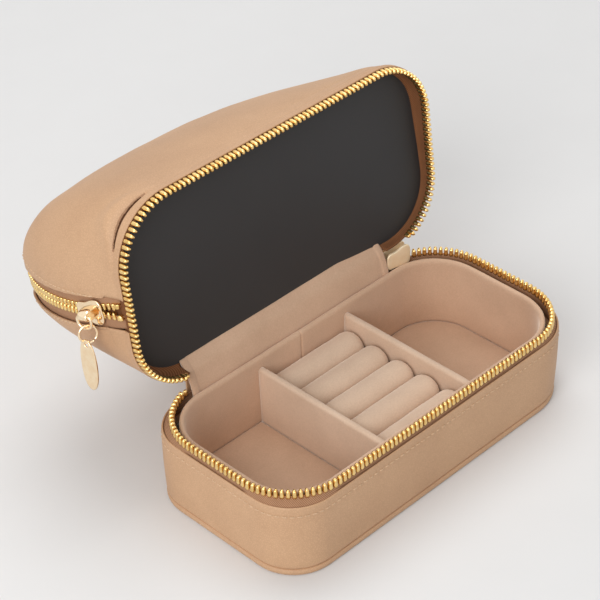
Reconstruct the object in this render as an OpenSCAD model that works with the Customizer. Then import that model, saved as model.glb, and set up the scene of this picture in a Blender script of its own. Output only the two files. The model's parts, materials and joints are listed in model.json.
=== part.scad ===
// Travel jewelry case: a hard, velvet-lined box under a soft zipped pouch that is its lid.
// The origin is the middle of the underside. X runs along the length and the front is -Y.
// The lid is drawn closed and then turned about the hinge to its open place.

/* [Case] */
// Length of the case
case_w = 180; // [150:1:230]
// Depth of the case, front to back
case_d = 90; // [84:1:130]
// Height of the leather wall above the table
wall_h = 36; // [30:1:60]
// Corner radius of the case at its rim
rim_r = 29; // [24:0.5:32]
// Corner radius of the case at its foot
foot_r = 20; // [14:0.5:29]

/* [Skins and boards] */
// Thickness of the leather
leather_t = 0.9; // [0.6:0.1:1.2]
// Thickness of the board behind the leather wall
board_t = 2; // [1:0.1:2.6]
// Thickness of the leather-wrapped base
base_t = 3; // [2:0.1:5]
// Distance of the velvet liner from the outer face of the case
liner_inset = 4.6; // [4.5:0.1:6]
// Thickness of the velvet liner wall
liner_t = 2.5; // [1.5:0.1:4]
// Height of the liner's rim above the leather wall
liner_rise = 2; // [0:0.1:2.4]
// Thickness of the velvet floors
floor_t = 1.2; // [0.8:0.1:3]
// Clearance between glued pieces
fit = 0.2; // [0.1:0.05:0.3]

/* [Compartments] */
// Clear width of the ring section
section_w = 49.8; // [30:0.1:70]
// Thickness of the dividers
divider_t = 3.4; // [2:0.1:5]
// Height of the dividers above the base
divider_h = 30; // [24:0.5:32]
// Number of ring rolls
roll_count = 5; // [3:1:6]
// Height of the ring rolls' bed
bed_h = 10.9; // [6:0.1:14]
// Gap between neighbouring ring rolls
roll_gap = 0.3; // [0.2:0.1:2]
// Radius of the ring rolls' rounded ends
roll_end_r = 3.5; // [1:0.1:4.5]

/* [Zips] */
// Distance from one tooth to the next
tooth_pitch = 2.5; // [2:0.1:4]
// Thickness of a tooth along the zip
tooth_t = 1.2; // [0.8:0.1:1.6]
// Thickness of a tooth across the tape
tooth_w = 2.2; // [1.6:0.1:2.4]
// Height of a tooth above the tape
tooth_h = 2.75; // [2:0.05:4]
// Gap between the two rows of teeth of a closed zip
row_gap = 1.4; // [1.2:0.1:2]
// Thickness of the zip tape
tape_t = 0.7; // [0.4:0.1:1]
// Clearance between the leather and the tape behind it
tape_fit = 0.3; // [0.2:0.05:0.4]
// Bare width of the tape between leather and teeth
tape_rise = 2.4; // [1.5:0.1:4]
// Width of the tape sewn in behind the leather
tape_sewn = 8; // [4:0.5:12]
// Corner angle from the parked main slider to the box's first tooth
box_teeth_angle = 21; // [20:1:30]
// Corner angle from the parked main slider to the lid's first tooth
lid_teeth_angle = 23; // [20:1:30]

/* [Hinge] */
// Length of the hinge strips
hinge_w = 120; // [80:1:144]
// Place of the hinge strips' middle along the back, to the right of the case's middle
hinge_x = -3; // [-10:0.5:10]
// Angle at which the lid stands open
lid_open = 96; // [60:1:110]
// Thickness of the velvet hinge lining
hinge_lining_t = 1; // [0.6:0.1:1.2]
// Distance from the fold line to the edges of the spine
fold_gap = 1.2; // [1:0.1:2]
// Distance from the fold line to the edge of the lid's leather
lid_edge_gap = 0.5; // [0.4:0.1:1]

/* [Lid] */
// Depth of the dark panel's face inside the lid's edge
panel_recess = 3.5; // [3.4:0.1:8]
// Thickness of the dark panel
panel_t = 1; // [0.6:0.1:2]
// Distance of the dark panel from the outer face of the lid
panel_inset = 3.2; // [2.4:0.1:8]
// Thickness of the lid's board
lid_board_t = 2; // [1:0.1:3]

/* [Pouch] */
// Height of the pouch above the lid's edge, along its leaning zip
pouch_h = 78; // [66:1:90]
// Corner radius of the pouch's ridge
ridge_r = 18; // [12:0.5:30]
// Height of the upright band above the lid's edge
band_h = 7; // [6.8:0.1:9]
// How far the ends of the pouch stand out past the case
pouch_swell = 6.2; // [4:0.1:8]
// Height above the lid's edge at which the ends stand out most
swell_h = 31; // [26:0.5:36]
// Length of the band that flares out to each end of the zip
flare_l = 30; // [20:1:40]
// Distance of the pouch zip behind the middle of the case, at the lid's edge
zip_y = 0.3; // [-3:0.1:8]
// Angle at which the pouch zip leans back
zip_lean = 9; // [0:0.5:14]
// Width of the slit that the pouch zip closes
slit_w = 12.4; // [12:0.1:14]
// Thickness of the pouch lining
lining_t = 0.6; // [0.4:0.1:1]
// Share of a panel's fullness that lies at the ridge
shoulder_share = 0.62; // [0.5:0.01:0.7]
// Fullness of the front panel at its left end
front_left = 0.44; // [0.3:0.01:0.9]
// Fullness of the front panel in the middle
front_mid = 0.6; // [0.3:0.01:0.9]
// Fullness of the front panel at its right end
front_right = 0.1; // [0.05:0.01:0.9]
// Fullness of the back panel at its left end
back_left = 0.24; // [0.1:0.01:0.9]
// Fullness of the back panel in the middle
back_mid = 0.92; // [0.3:0.01:0.95]
// Fullness of the back panel at its right end
back_right = 0.6; // [0.3:0.01:0.95]

/* [Sliders] */
// Length of a slider along the zip
slider_l = 13.5; // [9:0.5:14]
// Width of a slider across the zip
slider_w = 11.4; // [9:0.1:11.5]
// Width of a slider at its narrow end
slider_tail_w = 8.6; // [7.4:0.1:10]
// Width of a slider's blunt ends
slider_nose_w = 6; // [3:0.1:7]
// Length of a slider's bevels
slider_bevel = 1.6; // [0.5:0.1:2]
// Thickness of a slider's plates
plate_t = 0.7; // [0.6:0.1:0.8]
// Clear space between a slider's plates
channel = 2.5; // [2.4:0.1:2.8]
// Length of the wedge between a slider's plates
wedge_l = 2.4; // [1.5:0.1:4]
// Thickness of the wedge between a slider's plates
wedge_t = 0.9; // [0.6:0.1:1]
// Height of the bail's bar above the middle of the tape
bail_y = 6.2; // [6:0.1:7]
// Gap between the hinge strips and the parked main slider
park_gap = 0.2; // [0.1:0.05:1]
// Height at which the pouch slider rests above the lid's edge
pouch_slider_h = 15.5; // [15:0.5:24]

/* [Pulls] */
// Radius of the bail's wire
bail_wire_r = 0.6; // [0.4:0.05:0.7]
// Width of the bail
bail_w = 8.6; // [7:0.1:10]
// Drop of the bail
bail_l = 5.8; // [5.4:0.1:12]
// Radius of the jump ring to the middle of its wire
ring_r = 3.8; // [2.8:0.1:4]
// Radius of the jump ring's wire
ring_wire_r = 0.5; // [0.4:0.05:0.6]
// Length of the tab
tab_l = 24; // [16:0.5:26]
// Width of the tab
tab_w = 9.6; // [6:0.1:14]
// Thickness of the tab
tab_t = 1.2; // [0.8:0.1:1.6]
// Radius of the tab's eye
eye_r = 1.1; // [0.9:0.05:1.4]
// Radius of the rounded tips of the tab
tip_r = 2.3; // [1.9:0.1:2.6]
// Clearance of the bail in its tunnel
pin_fit = 0.1; // [0.05:0.01:0.1]

/* [Hidden] */
$fn = 48;
corner_steps = 8;
panel_columns = 41;
panel_rows = 9;
arch_steps = 64;
end_share = 0.004;

leather = "#c9a07c";
velvet = "#cdb098";
brass = "#c79b45";
gold = "#ecd9b4";
brown = "#8a5a3c";
board = "#8c8378";

// Levels of the box and of the closed lid
rim_top = wall_h + liner_rise;
tape_top = wall_h + tape_rise;
teeth_top = tape_top + tooth_h;
zip_gap = 2 * (tape_rise + tooth_h) + row_gap;
zip_mid = wall_h + zip_gap / 2;
lid_z = wall_h + zip_gap;
hinge_y = case_d / 2 - leather_t / 2;
board_top = wall_h - tape_sewn - fit;
panel_z = lid_z + panel_recess;
lid_board_z = panel_z + panel_t;

// Insets from the outer face, from the outside in
tape_in = leather_t + tape_fit;
tape_mid = tape_in + tape_t / 2;
lid_board_in = tape_in + tape_t + fit;
room_in = liner_inset + liner_t;
lining_in = tape_in + tape_t + fit;

// Inside of the box
room_w = case_w - 2 * room_in;
room_d = case_d - 2 * room_in;
room_r = rim_r - room_in;
divider_x = section_w / 2 + divider_t / 2;
roll_pitch = (room_d - 2 * fit) / roll_count;
roll_r = (roll_pitch - roll_gap) / 2;
roll_z = base_t + bed_h + roll_r;

// Pouch zip: bulging ends of end_r about a middle at end_x, round corners at corner_x and a level top
row_edge = row_gap / 2 + tooth_h;
pouch_half = case_w / 2 + pouch_swell;
end_r = (swell_h * swell_h + pouch_swell * pouch_swell) / (2 * pouch_swell);
end_x = pouch_half - end_r;
corner_turn = asin((pouch_h - ridge_r - swell_h) / (end_r - ridge_r));
corner_x = end_x + (end_r - ridge_r) * cos(corner_turn);
pouch_tape_z = band_h + fit;
pouch_slider_turn = end_turn(tape_mid, pouch_slider_h);

// Slider and pull places in their own frame: X along the zip, Y outwards, Z across the zip
// The inner plate stands back by the arc_room that the straight slider needs on the round corner
plate_y = channel / 2 + plate_t;
arc_room = slider_l * slider_l / (8 * (rim_r - tape_mid));
inner_y = -channel / 2 - arc_room;

// The main slider is parked at the end of the hinge strips: on the straight back, or on the corner
straight_end = case_w / 2 - rim_r;
park_x = hinge_x + hinge_w / 2 + park_gap;
zip_r = rim_r - tape_mid;
inner_r = zip_r + inner_y - plate_t;
slider_reach = sqrt(inner_r * inner_r + slider_l * slider_l / 4);
main_slider_angle = park_x + slider_l / 2 < straight_end ? 90 :
  acos((park_x - straight_end) / slider_reach) - atan2(slider_l / 2, inner_r);
main_slider_x = min(park_x + slider_l / 2, straight_end);
bail_drop = bail_l - bail_wire_r;
ring_z = -bail_drop - (ring_r - ring_wire_r - bail_wire_r - pin_fit);
eye_z = ring_z - ring_r;
tab_bow_r = (tab_l * tab_l / 4 + tab_w * tab_w / 4) / tab_w;

// Rounded rectangle in the middle of the case
module outline(w, d, r) {
  square([w - 2 * r, d], center = true);
  square([w, d - 2 * r], center = true);
  for (sx = [-1, 1], sy = [-1, 1])
    translate([sx * (w / 2 - r), sy * (d / 2 - r)]) circle(r);
}

module rim_outline(inset) outline(case_w - 2 * inset, case_d - 2 * inset, rim_r - inset);

module rim_ring(z, h, inset_out, inset_in) {
  translate([0, 0, z]) linear_extrude(h) difference() {
    rim_outline(inset_out);
    rim_outline(inset_in);
  }
}

module foot_plate(z, h, inset) {
  translate([0, 0, z]) linear_extrude(h)
    outline(case_w - 2 * inset, case_d - 2 * inset, foot_r - inset);
}

module at_hinge_stretch(z, h, extra) {
  translate([hinge_x - hinge_w / 2 - extra, case_d / 4, z])
    cube([hinge_w + 2 * extra, case_d / 2, h]);
}

// The box's wall: its corners open out from the foot to the rim
function wall_radius(z) = foot_r + (rim_r - foot_r) * (z - base_t) / (wall_h - base_t);

function side_x(corner) = corner == 0 || corner == 3 ? 1 : -1;

function side_y(corner) = corner < 2 ? 1 : -1;

function wall_loop(inset, z) = [
  for (corner = [0:3], k = [0:corner_steps])
    let (r = wall_radius(z), a = 90 * corner + 90 * k / corner_steps)
      [side_x(corner) * (case_w / 2 - r) + (r - inset) * cos(a),
       side_y(corner) * (case_d / 2 - r) + (r - inset) * sin(a), z]
];

module flared_wall(z0, z1, inset_out, inset_in) {
  n = 4 * (corner_steps + 1);
  loops = concat(wall_loop(inset_out, z0), wall_loop(inset_out, z1),
                 wall_loop(inset_in, z0), wall_loop(inset_in, z1));
  faces = [
    for (i = [0:n - 1]) let (j = (i + 1) % n) each [
      [i, n + i, n + j], [i, n + j, j],
      [2 * n + i, 3 * n + j, 3 * n + i], [2 * n + i, 2 * n + j, 3 * n + j],
      [n + i, 3 * n + i, 3 * n + j], [n + i, 3 * n + j, n + j],
      [i, 2 * n + j, 2 * n + i], [i, j, 2 * n + j]
    ]
  ];
  polyhedron(points = loops, faces = faces);
}

// Points of the rim's zip, counted from the middle of the front: place and outward angle
function zip_half_length(inset, angle) =
  let (r = rim_r - inset)
    (case_w / 2 - rim_r) + r * PI / 2 + (case_d - 2 * rim_r) + r * angle * PI / 180;

function zip_point_right(s, inset) =
  let (r = rim_r - inset, front = case_w / 2 - rim_r, side = case_d - 2 * rim_r, arc = r * PI / 2)
    s < front ? [s, -case_d / 2 + inset, -90] :
    s < front + arc ?
      let (a = -90 + (s - front) / r * 180 / PI)
        [front + r * cos(a), -case_d / 2 + rim_r + r * sin(a), a] :
    s < front + arc + side ? [case_w / 2 - inset, -side / 2 + s - front - arc, 0] :
      let (a = (s - front - arc - side) / r * 180 / PI)
        [front + r * cos(a), side / 2 + r * sin(a), a];

function zip_point(s, inset) =
  let (p = zip_point_right(abs(s), inset)) s < 0 ? [-p[0], p[1], 180 - p[2]] : p;

module rim_tooth(s, z, length) {
  p = zip_point(s, tape_mid);
  translate([p[0], p[1], z + tooth_h / 2]) rotate([0, 0, p[2]])
    cube([tooth_w, length, tooth_h], center = true);
}

module rim_teeth(z, angle, shift) {
  reach = zip_half_length(tape_mid, angle) - tooth_t;
  count = floor(reach / tooth_pitch - shift);
  for (side = [-1, 1], k = [shift == 0 && side < 0 ? 1 : 0:count])
    rim_tooth(side * (k + shift) * tooth_pitch, z, tooth_t);
}

module rim_stops(z, angle) {
  for (side = [-1, 1])
    rim_tooth(side * (zip_half_length(tape_mid, angle) + tooth_t), z, 2 * tooth_t);
}

// The rim from one end of the pouch zip round to the other: place and outward angle
function rim_arch_length(half, rise, r) = 2 * (rise - r) + PI * r + 2 * (half - r);

function rim_arch_left(s, half, rise, r) =
  let (upright = rise - r, arc = r * PI / 2)
    s < upright ? [-half, s, 180] :
    s < upright + arc ?
      let (a = (s - upright) / r * 180 / PI)
        [-half + r - r * cos(a), upright + r * sin(a), 180 - a] :
      [-half + r + s - upright - arc, rise, 90];

function rim_arch_point(s, half, rise, r) =
  let (total = rim_arch_length(half, rise, r))
    s <= total / 2 ? rim_arch_left(s, half, rise, r) :
      let (p = rim_arch_left(total - s, half, rise, r)) [-p[0], p[1], 180 - p[2]];

// The pouch zip's arch in its own plane, from a start height: place and outward angle
function end_turn(inset, h) = asin((h - swell_h) / (end_r - inset));

function end_length(inset, start) =
  (end_r - inset) * (corner_turn - end_turn(inset, start)) * PI / 180;

function corner_length(inset) = (ridge_r - inset) * (90 - corner_turn) * PI / 180;

function arch_length(inset, start) = 2 * (end_length(inset, start) + corner_length(inset) + corner_x);

function arch_left(s, inset, start) =
  let (end_l = end_length(inset, start), corner_l = corner_length(inset))
    s < end_l ?
      let (r = end_r - inset, a = end_turn(inset, start) + s / r * 180 / PI)
        [-end_x - r * cos(a), swell_h + r * sin(a), 180 - a] :
    s < end_l + corner_l ?
      let (r = ridge_r - inset, a = corner_turn + (s - end_l) / r * 180 / PI)
        [-corner_x - r * cos(a), pouch_h - ridge_r + r * sin(a), 180 - a] :
      [-corner_x + s - end_l - corner_l, pouch_h - inset, 90];

function arch_point(s, inset, start) =
  let (total = arch_length(inset, start))
    s <= total / 2 ? arch_left(s, inset, start) :
      let (p = arch_left(total - s, inset, start)) [-p[0], p[1], 180 - p[2]];

function arch_line(inset, start) = [
  for (i = [0:arch_steps])
    let (p = arch_point(i / arch_steps * arch_length(inset, start), inset, start)) [p[0], p[1]]
];

// A place in the plane of the pouch zip, on the closed lid
function on_zip_place(x, y, h) = [
  x, zip_y + y * cos(zip_lean) + h * sin(zip_lean), lid_z - y * sin(zip_lean) + h * cos(zip_lean)
];

// Turns what is drawn on the closed lid to the open lid's place
module on_lid() {
  translate([0, hinge_y, lid_z]) rotate([-lid_open, 0, 0]) translate([0, -hinge_y, -lid_z])
    children();
}

// A panel of the pouch runs from the edge of the zip to the rim: front -1, back 1
function lerp3(left, mid, right, x) =
  mid + (right - left) / 2 * x + ((right + left) / 2 - mid) * x * x;

function fullness(side, x) =
  side < 0 ? lerp3(front_left, front_mid, front_right, x)
           : lerp3(back_left, back_mid, back_right, x);

function bezier(t, a, b, c, d) =
  pow(1 - t, 3) * a + 3 * pow(1 - t, 2) * t * b + 3 * (1 - t) * t * t * c + t * t * t * d;

function panel_column(side, inset, edge, share, skirt) =
  let (
    start = (band_h + side * edge * sin(zip_lean)) / cos(zip_lean),
    u = arch_point(share * arch_length(inset, start), inset, start),
    top = on_zip_place(u[0], side * edge, u[1]),
    first = arch_point(0, inset, start),
    y_edge = on_zip_place(first[0], side * edge, start)[1],
    rim_half = case_w / 2 - inset,
    rim_rise = case_d / 2 - inset - side * y_edge,
    rim_corner = rim_r - inset,
    rim_l = rim_arch_length(rim_half, rim_rise, rim_corner),
    v = rim_arch_point(share * rim_l, rim_half, rim_rise, rim_corner),
    near = max(0, 1 - min(share, 1 - share) * rim_l / flare_l),
    flare = (-first[0] - rim_half) * near * near,
    foot = [v[0] + flare * cos(v[2]), y_edge + side * (v[1] + flare * sin(v[2])), lid_z + band_h],
    pull = norm(foot - top) * fullness(side, u[0] / pouch_half),
    shoulder = top + side * shoulder_share * pull * [0, cos(zip_lean), -sin(zip_lean)],
    hip = foot + [0, 0, (1 - shoulder_share) * pull]
  ) concat(
    [for (k = [0:panel_rows - 1]) bezier(k / (panel_rows - 1), top, shoulder, hip, foot)],
    skirt ? [[v[0], y_edge + side * v[1], lid_z + lid_edge_gap]] : []
  );

function panel_sheet(side, inset, edge, skirt) = [
  for (i = [0:panel_columns - 1])
    let (share = end_share + (1 - 2 * end_share) * i / (panel_columns - 1))
      each panel_column(side, inset, edge, share, skirt)
];

function turned(face, flip) = flip ? [face[0], face[2], face[1]] : face;

function quad(a, b, c, d, flip) = [turned([a, b, c], flip), turned([a, c, d], flip)];

module pouch_sheet(side, inset_out, inset_in, edge, skirt) {
  n = panel_columns;
  m = panel_rows + (skirt ? 1 : 0);
  w = n * m;
  flip = side > 0;
  points = concat(panel_sheet(side, inset_out, edge, skirt), panel_sheet(side, inset_in, edge, skirt));
  skins = [
    for (i = [0:n - 2], j = [0:m - 2]) let (a = i * m + j, b = a + m) each concat(
      quad(a, b, b + 1, a + 1, flip), quad(w + a, w + a + 1, w + b + 1, w + b, flip))
  ];
  long_edges = [
    for (i = [0:n - 2]) let (a = i * m, b = a + m) each concat(
      quad(b, a, w + a, w + b, flip),
      quad(a + m - 1, b + m - 1, w + b + m - 1, w + a + m - 1, flip))
  ];
  end_edges = [
    for (j = [0:m - 2]) let (z = (n - 1) * m + j) each concat(
      quad(j, j + 1, w + j + 1, w + j, flip), quad(z + 1, z, w + z, w + z + 1, flip))
  ];
  polyhedron(points = points, faces = concat(skins, long_edges, end_edges));
}

// Turns what is drawn with X along the case, Y across the pouch zip and Z up it to the leaning zip
module on_zip() {
  translate([0, zip_y, lid_z]) rotate([-zip_lean, 0, 0]) children();
}

module pouch_arch_band(y0, y1, inset_out, inset_in) {
  inner = arch_line(inset_in, pouch_tape_z);
  translate([0, y1, 0]) rotate([90, 0, 0]) linear_extrude(y1 - y0)
    polygon(concat(arch_line(inset_out, pouch_tape_z), [for (i = [arch_steps:-1:0]) inner[i]]));
}

module pouch_tooth(s, y, width, length) {
  p = arch_point(s, tape_mid, pouch_tape_z);
  translate([p[0], y, p[1]]) rotate([0, -p[2], 0]) cube([tooth_w, width, length], center = true);
}

module pouch_teeth(side, shift) {
  middle = arch_length(tape_mid, pouch_tape_z) / 2;
  count = floor((middle - 2 * tooth_t) / tooth_pitch - shift);
  for (end = [-1, 1], k = [shift == 0 && end < 0 ? 1 : 0:count])
    pouch_tooth(middle + end * (k + shift) * tooth_pitch, side * (row_gap + tooth_h) / 2, tooth_h, tooth_t);
}

// Slider and pull in their own frame
module plate_outline() {
  mouth = slider_w / 2;
  tail = slider_tail_w / 2;
  nose = slider_nose_w / 2;
  waist = slider_bevel;
  end = slider_l / 2;
  polygon([
    [-end, -nose], [-end + waist, -tail], [-waist, -tail], [waist, -mouth], [end - waist, -mouth],
    [end, -nose], [end, nose], [end - waist, mouth], [waist, mouth], [-waist, tail],
    [-end + waist, tail], [-end, nose]
  ]);
}

module slider() {
  tunnel_l = bail_w - 6 * bail_wire_r;
  tunnel_r = 2 * bail_wire_r + pin_fit;
  difference() {
    union() {
      for (y = [plate_y, inner_y])
        translate([0, y, 0]) rotate([90, 0, 0]) linear_extrude(plate_t) plate_outline();
      translate([slider_l / 4 - wedge_l / 2, inner_y, -wedge_t / 2])
        cube([wedge_l, plate_y - inner_y, wedge_t]);
      translate([-tunnel_l / 2, plate_y, -tunnel_r]) cube([tunnel_l, bail_y - plate_y, 2 * tunnel_r]);
      translate([-tunnel_l / 2, bail_y, 0]) rotate([0, 90, 0]) cylinder(r = tunnel_r, h = tunnel_l);
    }
    translate([-tunnel_l / 2 - 1, bail_y, 0]) rotate([0, 90, 0])
      cylinder(r = bail_wire_r + pin_fit, h = tunnel_l + 2);
  }
}

module bail() {
  half = bail_w / 2 - bail_wire_r;
  translate([0, bail_y, 0]) {
    for (z = [0, -bail_drop]) translate([-half, 0, z]) rotate([0, 90, 0])
      cylinder(r = bail_wire_r, h = 2 * half);
    for (x = [-half, half]) {
      translate([x, 0, -bail_drop]) cylinder(r = bail_wire_r, h = bail_drop);
      for (z = [0, -bail_drop]) translate([x, 0, z]) sphere(r = bail_wire_r);
    }
  }
}

module jump_ring() {
  translate([0, bail_y, ring_z]) rotate([0, 90, 0]) rotate_extrude()
    translate([ring_r, 0]) circle(ring_wire_r);
}

module tab(tilt) {
  middle = tip_r - tab_l / 2;
  translate([0, bail_y + tab_t / 2, eye_z]) rotate([0, tilt, 0]) rotate([90, 0, 0])
    linear_extrude(tab_t) difference() {
      translate([0, middle]) {
        intersection_for (side = [-1, 1])
          translate([side * (tab_bow_r - tab_w / 2), 0]) circle(tab_bow_r);
        for (end = [-1, 1]) translate([0, end * (tab_l / 2 - tip_r)]) circle(tip_r);
      }
      circle(eye_r);
    }
}

module at_main_slider() {
  translate([main_slider_x + zip_r * cos(main_slider_angle),
             case_d / 2 - rim_r + zip_r * sin(main_slider_angle), zip_mid])
    rotate([0, 0, main_slider_angle - 90]) children();
}

module at_pouch_slider() {
  r = end_r - tape_mid;
  on_lid() on_zip()
    translate([-end_x - r * cos(pouch_slider_turn), 0, swell_h + r * sin(pouch_slider_turn)])
      rotate([0, pouch_slider_turn, 0]) rotate([0, -90, 90]) children();
}

// Box
module box_leather_wall() {
  color(leather) flared_wall(base_t, wall_h, 0, leather_t);
}

module box_wall_board() {
  color(board) flared_wall(base_t, board_top, leather_t, leather_t + board_t);
}

module box_base_leather() {
  color(leather) difference() {
    foot_plate(0, base_t, 0);
    foot_plate(leather_t, base_t, leather_t);
  }
}

module box_base_board() {
  color(board) foot_plate(leather_t, base_t - leather_t, leather_t + fit / 2);
}

module box_liner_wall() {
  color(velvet) rim_ring(base_t, rim_top - base_t, liner_inset, room_in);
}

module room_floor(side) {
  start = divider_x + divider_t / 2 + fit;
  color(velvet) translate([0, 0, base_t]) linear_extrude(floor_t) intersection() {
    outline(room_w - 2 * fit, room_d - 2 * fit, room_r - fit);
    translate([side > 0 ? start : -room_w / 2, -room_d / 2]) square([room_w / 2 - start, room_d]);
  }
}

module divider(side) {
  color(velvet) translate([side * divider_x - divider_t / 2, -room_d / 2 + fit, base_t])
    cube([divider_t, room_d - 2 * fit, divider_h]);
}

module ring_roll_bed() {
  w = section_w - 2 * fit;
  d = room_d - 2 * fit;
  color(velvet) translate([-w / 2, -d / 2, base_t]) cube([w, d, bed_h]);
}

module ring_roll(number) {
  half = section_w / 2 - fit;
  round_r = min(roll_end_r, roll_r);
  y = (number - (roll_count + 1) / 2) * roll_pitch;
  color(velvet) translate([0, -y, roll_z]) rotate([0, 90, 0]) rotate_extrude() {
    translate([0, -half]) square([roll_r - round_r, 2 * half]);
    translate([0, -half + round_r]) square([roll_r, 2 * (half - round_r)]);
    intersection() {
      translate([0, -half]) square([roll_r, 2 * half]);
      for (end = [-1, 1]) translate([roll_r - round_r, end * (half - round_r)]) circle(round_r);
    }
  }
}

module box_zip_tape() {
  color(brown) difference() {
    rim_ring(wall_h - tape_sewn, tape_sewn + tape_rise, tape_in, tape_in + tape_t);
    at_hinge_stretch(0, lid_z, fit);
  }
}

module box_zip_teeth() {
  color(brass) rim_teeth(tape_top, main_slider_angle - box_teeth_angle, 0.5);
}

module box_zip_stops() {
  color(brass) rim_stops(tape_top, main_slider_angle - box_teeth_angle);
}

// Hinge
module hinge_spine() {
  color(leather) translate([hinge_x - hinge_w / 2, case_d / 2 - leather_t, wall_h])
    cube([hinge_w, leather_t, zip_gap - fold_gap]);
}

module hinge_strip(z, h) {
  color(velvet) translate([hinge_x - hinge_w / 2, case_d / 2 - liner_inset + fit, z])
    cube([hinge_w, hinge_lining_t, h]);
}

module hinge_lining() {
  hinge_strip(wall_h - tape_sewn, tape_sewn + zip_gap - fold_gap);
}

module lid_hinge_lining() {
  on_lid() hinge_strip(lid_z + lid_edge_gap, panel_recess - lid_edge_gap - fit);
}

// Lid
module lid_zip_tape() {
  color(brown) on_lid() difference() {
    rim_ring(lid_z - tape_rise, tape_rise + panel_recess, tape_in, tape_in + tape_t);
    at_hinge_stretch(0, 2 * lid_z, fit);
  }
}

module lid_zip_teeth() {
  color(brass) on_lid() rim_teeth(lid_z - tape_rise - tooth_h, main_slider_angle - lid_teeth_angle, 0);
}

module lid_zip_stops() {
  color(brass) on_lid() rim_stops(lid_z - tape_rise - tooth_h, main_slider_angle - lid_teeth_angle);
}

module lid_board() {
  color(board) on_lid() translate([0, 0, lid_board_z]) linear_extrude(lid_board_t)
    rim_outline(lid_board_in);
}

module lid_dark_panel() {
  color("#3a3938") on_lid() translate([0, 0, panel_z]) linear_extrude(panel_t)
    rim_outline(panel_inset);
}

// Pouch
module pouch_panel(side) {
  color(leather) on_lid() pouch_sheet(side, 0, leather_t, slit_w / 2, true);
}

module pouch_lining(side) {
  color(brown) on_lid() pouch_sheet(side, lining_in, lining_in + lining_t, slit_w / 2, false);
}

module pouch_zip_tapes() {
  color(brown) on_lid() on_zip() for (side = [-1, 1]) {
    inner = side * row_edge;
    outer = side * slit_w / 2;
    pouch_arch_band(min(inner, outer), max(inner, outer), tape_in, tape_in + tape_t);
  }
}

module pouch_zip_teeth(side) {
  color(brass) on_lid() on_zip() pouch_teeth(side, side < 0 ? 0 : 0.5);
}

module pouch_zip_stops() {
  total = arch_length(tape_mid, pouch_tape_z);
  color(brass) on_lid() on_zip() for (s = [tooth_t / 2, total - tooth_t / 2])
    pouch_tooth(s, 0, 2 * row_edge, tooth_t);
}

box_leather_wall();
box_wall_board();
box_base_leather();
box_base_board();
box_liner_wall();
room_floor(-1);  // box_floor_left
room_floor(1);  // box_floor_right
divider(-1);  // divider_left
divider(1);  // divider_right
ring_roll_bed();
for (i = [1:roll_count])
  ring_roll(i);
box_zip_tape();
box_zip_teeth();
box_zip_stops();
hinge_spine();
hinge_lining();
lid_hinge_lining();
lid_zip_tape();
lid_zip_teeth();
lid_zip_stops();
lid_board();
lid_dark_panel();
pouch_panel(-1);  // pouch_front_panel
pouch_panel(1);  // pouch_back_panel
pouch_lining(-1);  // pouch_front_lining
pouch_lining(1);  // pouch_back_lining
pouch_zip_tapes();
pouch_zip_teeth(-1);  // pouch_zip_teeth_front
pouch_zip_teeth(1);  // pouch_zip_teeth_back
pouch_zip_stops();
color(gold) at_main_slider() slider();  // main_slider
color(gold) at_main_slider() bail();  // main_bail
color(gold) at_main_slider() jump_ring();  // main_ring
color(gold) at_main_slider() tab(0);  // main_tab
color(gold) at_pouch_slider() slider();  // pouch_slider
color(gold) at_pouch_slider() bail();  // pouch_bail
color(gold) at_pouch_slider() jump_ring();  // pouch_ring
color(gold) at_pouch_slider() tab(90 - lid_open - zip_lean);  // pouch_tab
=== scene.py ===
"""Looks of the travel jewelry case: leather, velvet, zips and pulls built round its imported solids."""

import json
from math import asin, ceil, cos, floor, inf, pi, radians, sin, sqrt

import bmesh
import bpy
import numpy as np
from mathutils import Matrix, Vector, noise


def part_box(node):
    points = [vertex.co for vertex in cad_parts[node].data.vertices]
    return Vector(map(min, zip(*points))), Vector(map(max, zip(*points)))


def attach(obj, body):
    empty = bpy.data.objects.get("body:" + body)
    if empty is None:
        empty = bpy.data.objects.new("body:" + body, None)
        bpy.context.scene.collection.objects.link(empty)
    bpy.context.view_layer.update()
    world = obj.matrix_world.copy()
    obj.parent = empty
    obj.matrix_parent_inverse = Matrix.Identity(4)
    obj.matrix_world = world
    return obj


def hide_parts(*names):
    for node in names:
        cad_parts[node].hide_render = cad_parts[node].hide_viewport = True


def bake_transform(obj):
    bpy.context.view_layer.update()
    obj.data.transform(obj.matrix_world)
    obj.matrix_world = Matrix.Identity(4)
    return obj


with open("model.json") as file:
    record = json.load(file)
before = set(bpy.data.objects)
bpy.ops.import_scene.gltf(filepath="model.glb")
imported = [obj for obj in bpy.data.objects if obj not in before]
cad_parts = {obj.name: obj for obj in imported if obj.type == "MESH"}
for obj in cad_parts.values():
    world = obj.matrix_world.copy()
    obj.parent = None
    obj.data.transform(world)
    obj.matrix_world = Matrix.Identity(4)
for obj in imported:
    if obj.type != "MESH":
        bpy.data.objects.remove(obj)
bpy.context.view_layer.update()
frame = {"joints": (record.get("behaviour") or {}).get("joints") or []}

# Sizes are in millimetres, and pieces are scaled to metres when they are made
MM = 0.001


def node_box(node):
    low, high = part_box(node)
    return np.array(low) / MM, np.array(high) / MM


def joint(name):
    return next(j for j in frame["joints"] if j["name"] == name)


# Sizes taken from the frame
BASE_LOW, BASE_HIGH = node_box("box_base_leather")
HALF_W, HALF_D = (BASE_HIGH - BASE_LOW)[:2] / 2
BASE_T = BASE_HIGH[2]
WALL_H = node_box("box_leather_wall")[1][2]
HINGE_Y, LID_Z = np.array(joint("lid_hinge")["pos_m"])[1:] / MM
LID_OPEN = radians(-joint("lid_hinge")["range_deg"][0])
HINGE_LEFT, HINGE_RIGHT = (corner[0] for corner in node_box("hinge_lining"))
DIVIDER_X = node_box("divider_right")[1][0]

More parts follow.
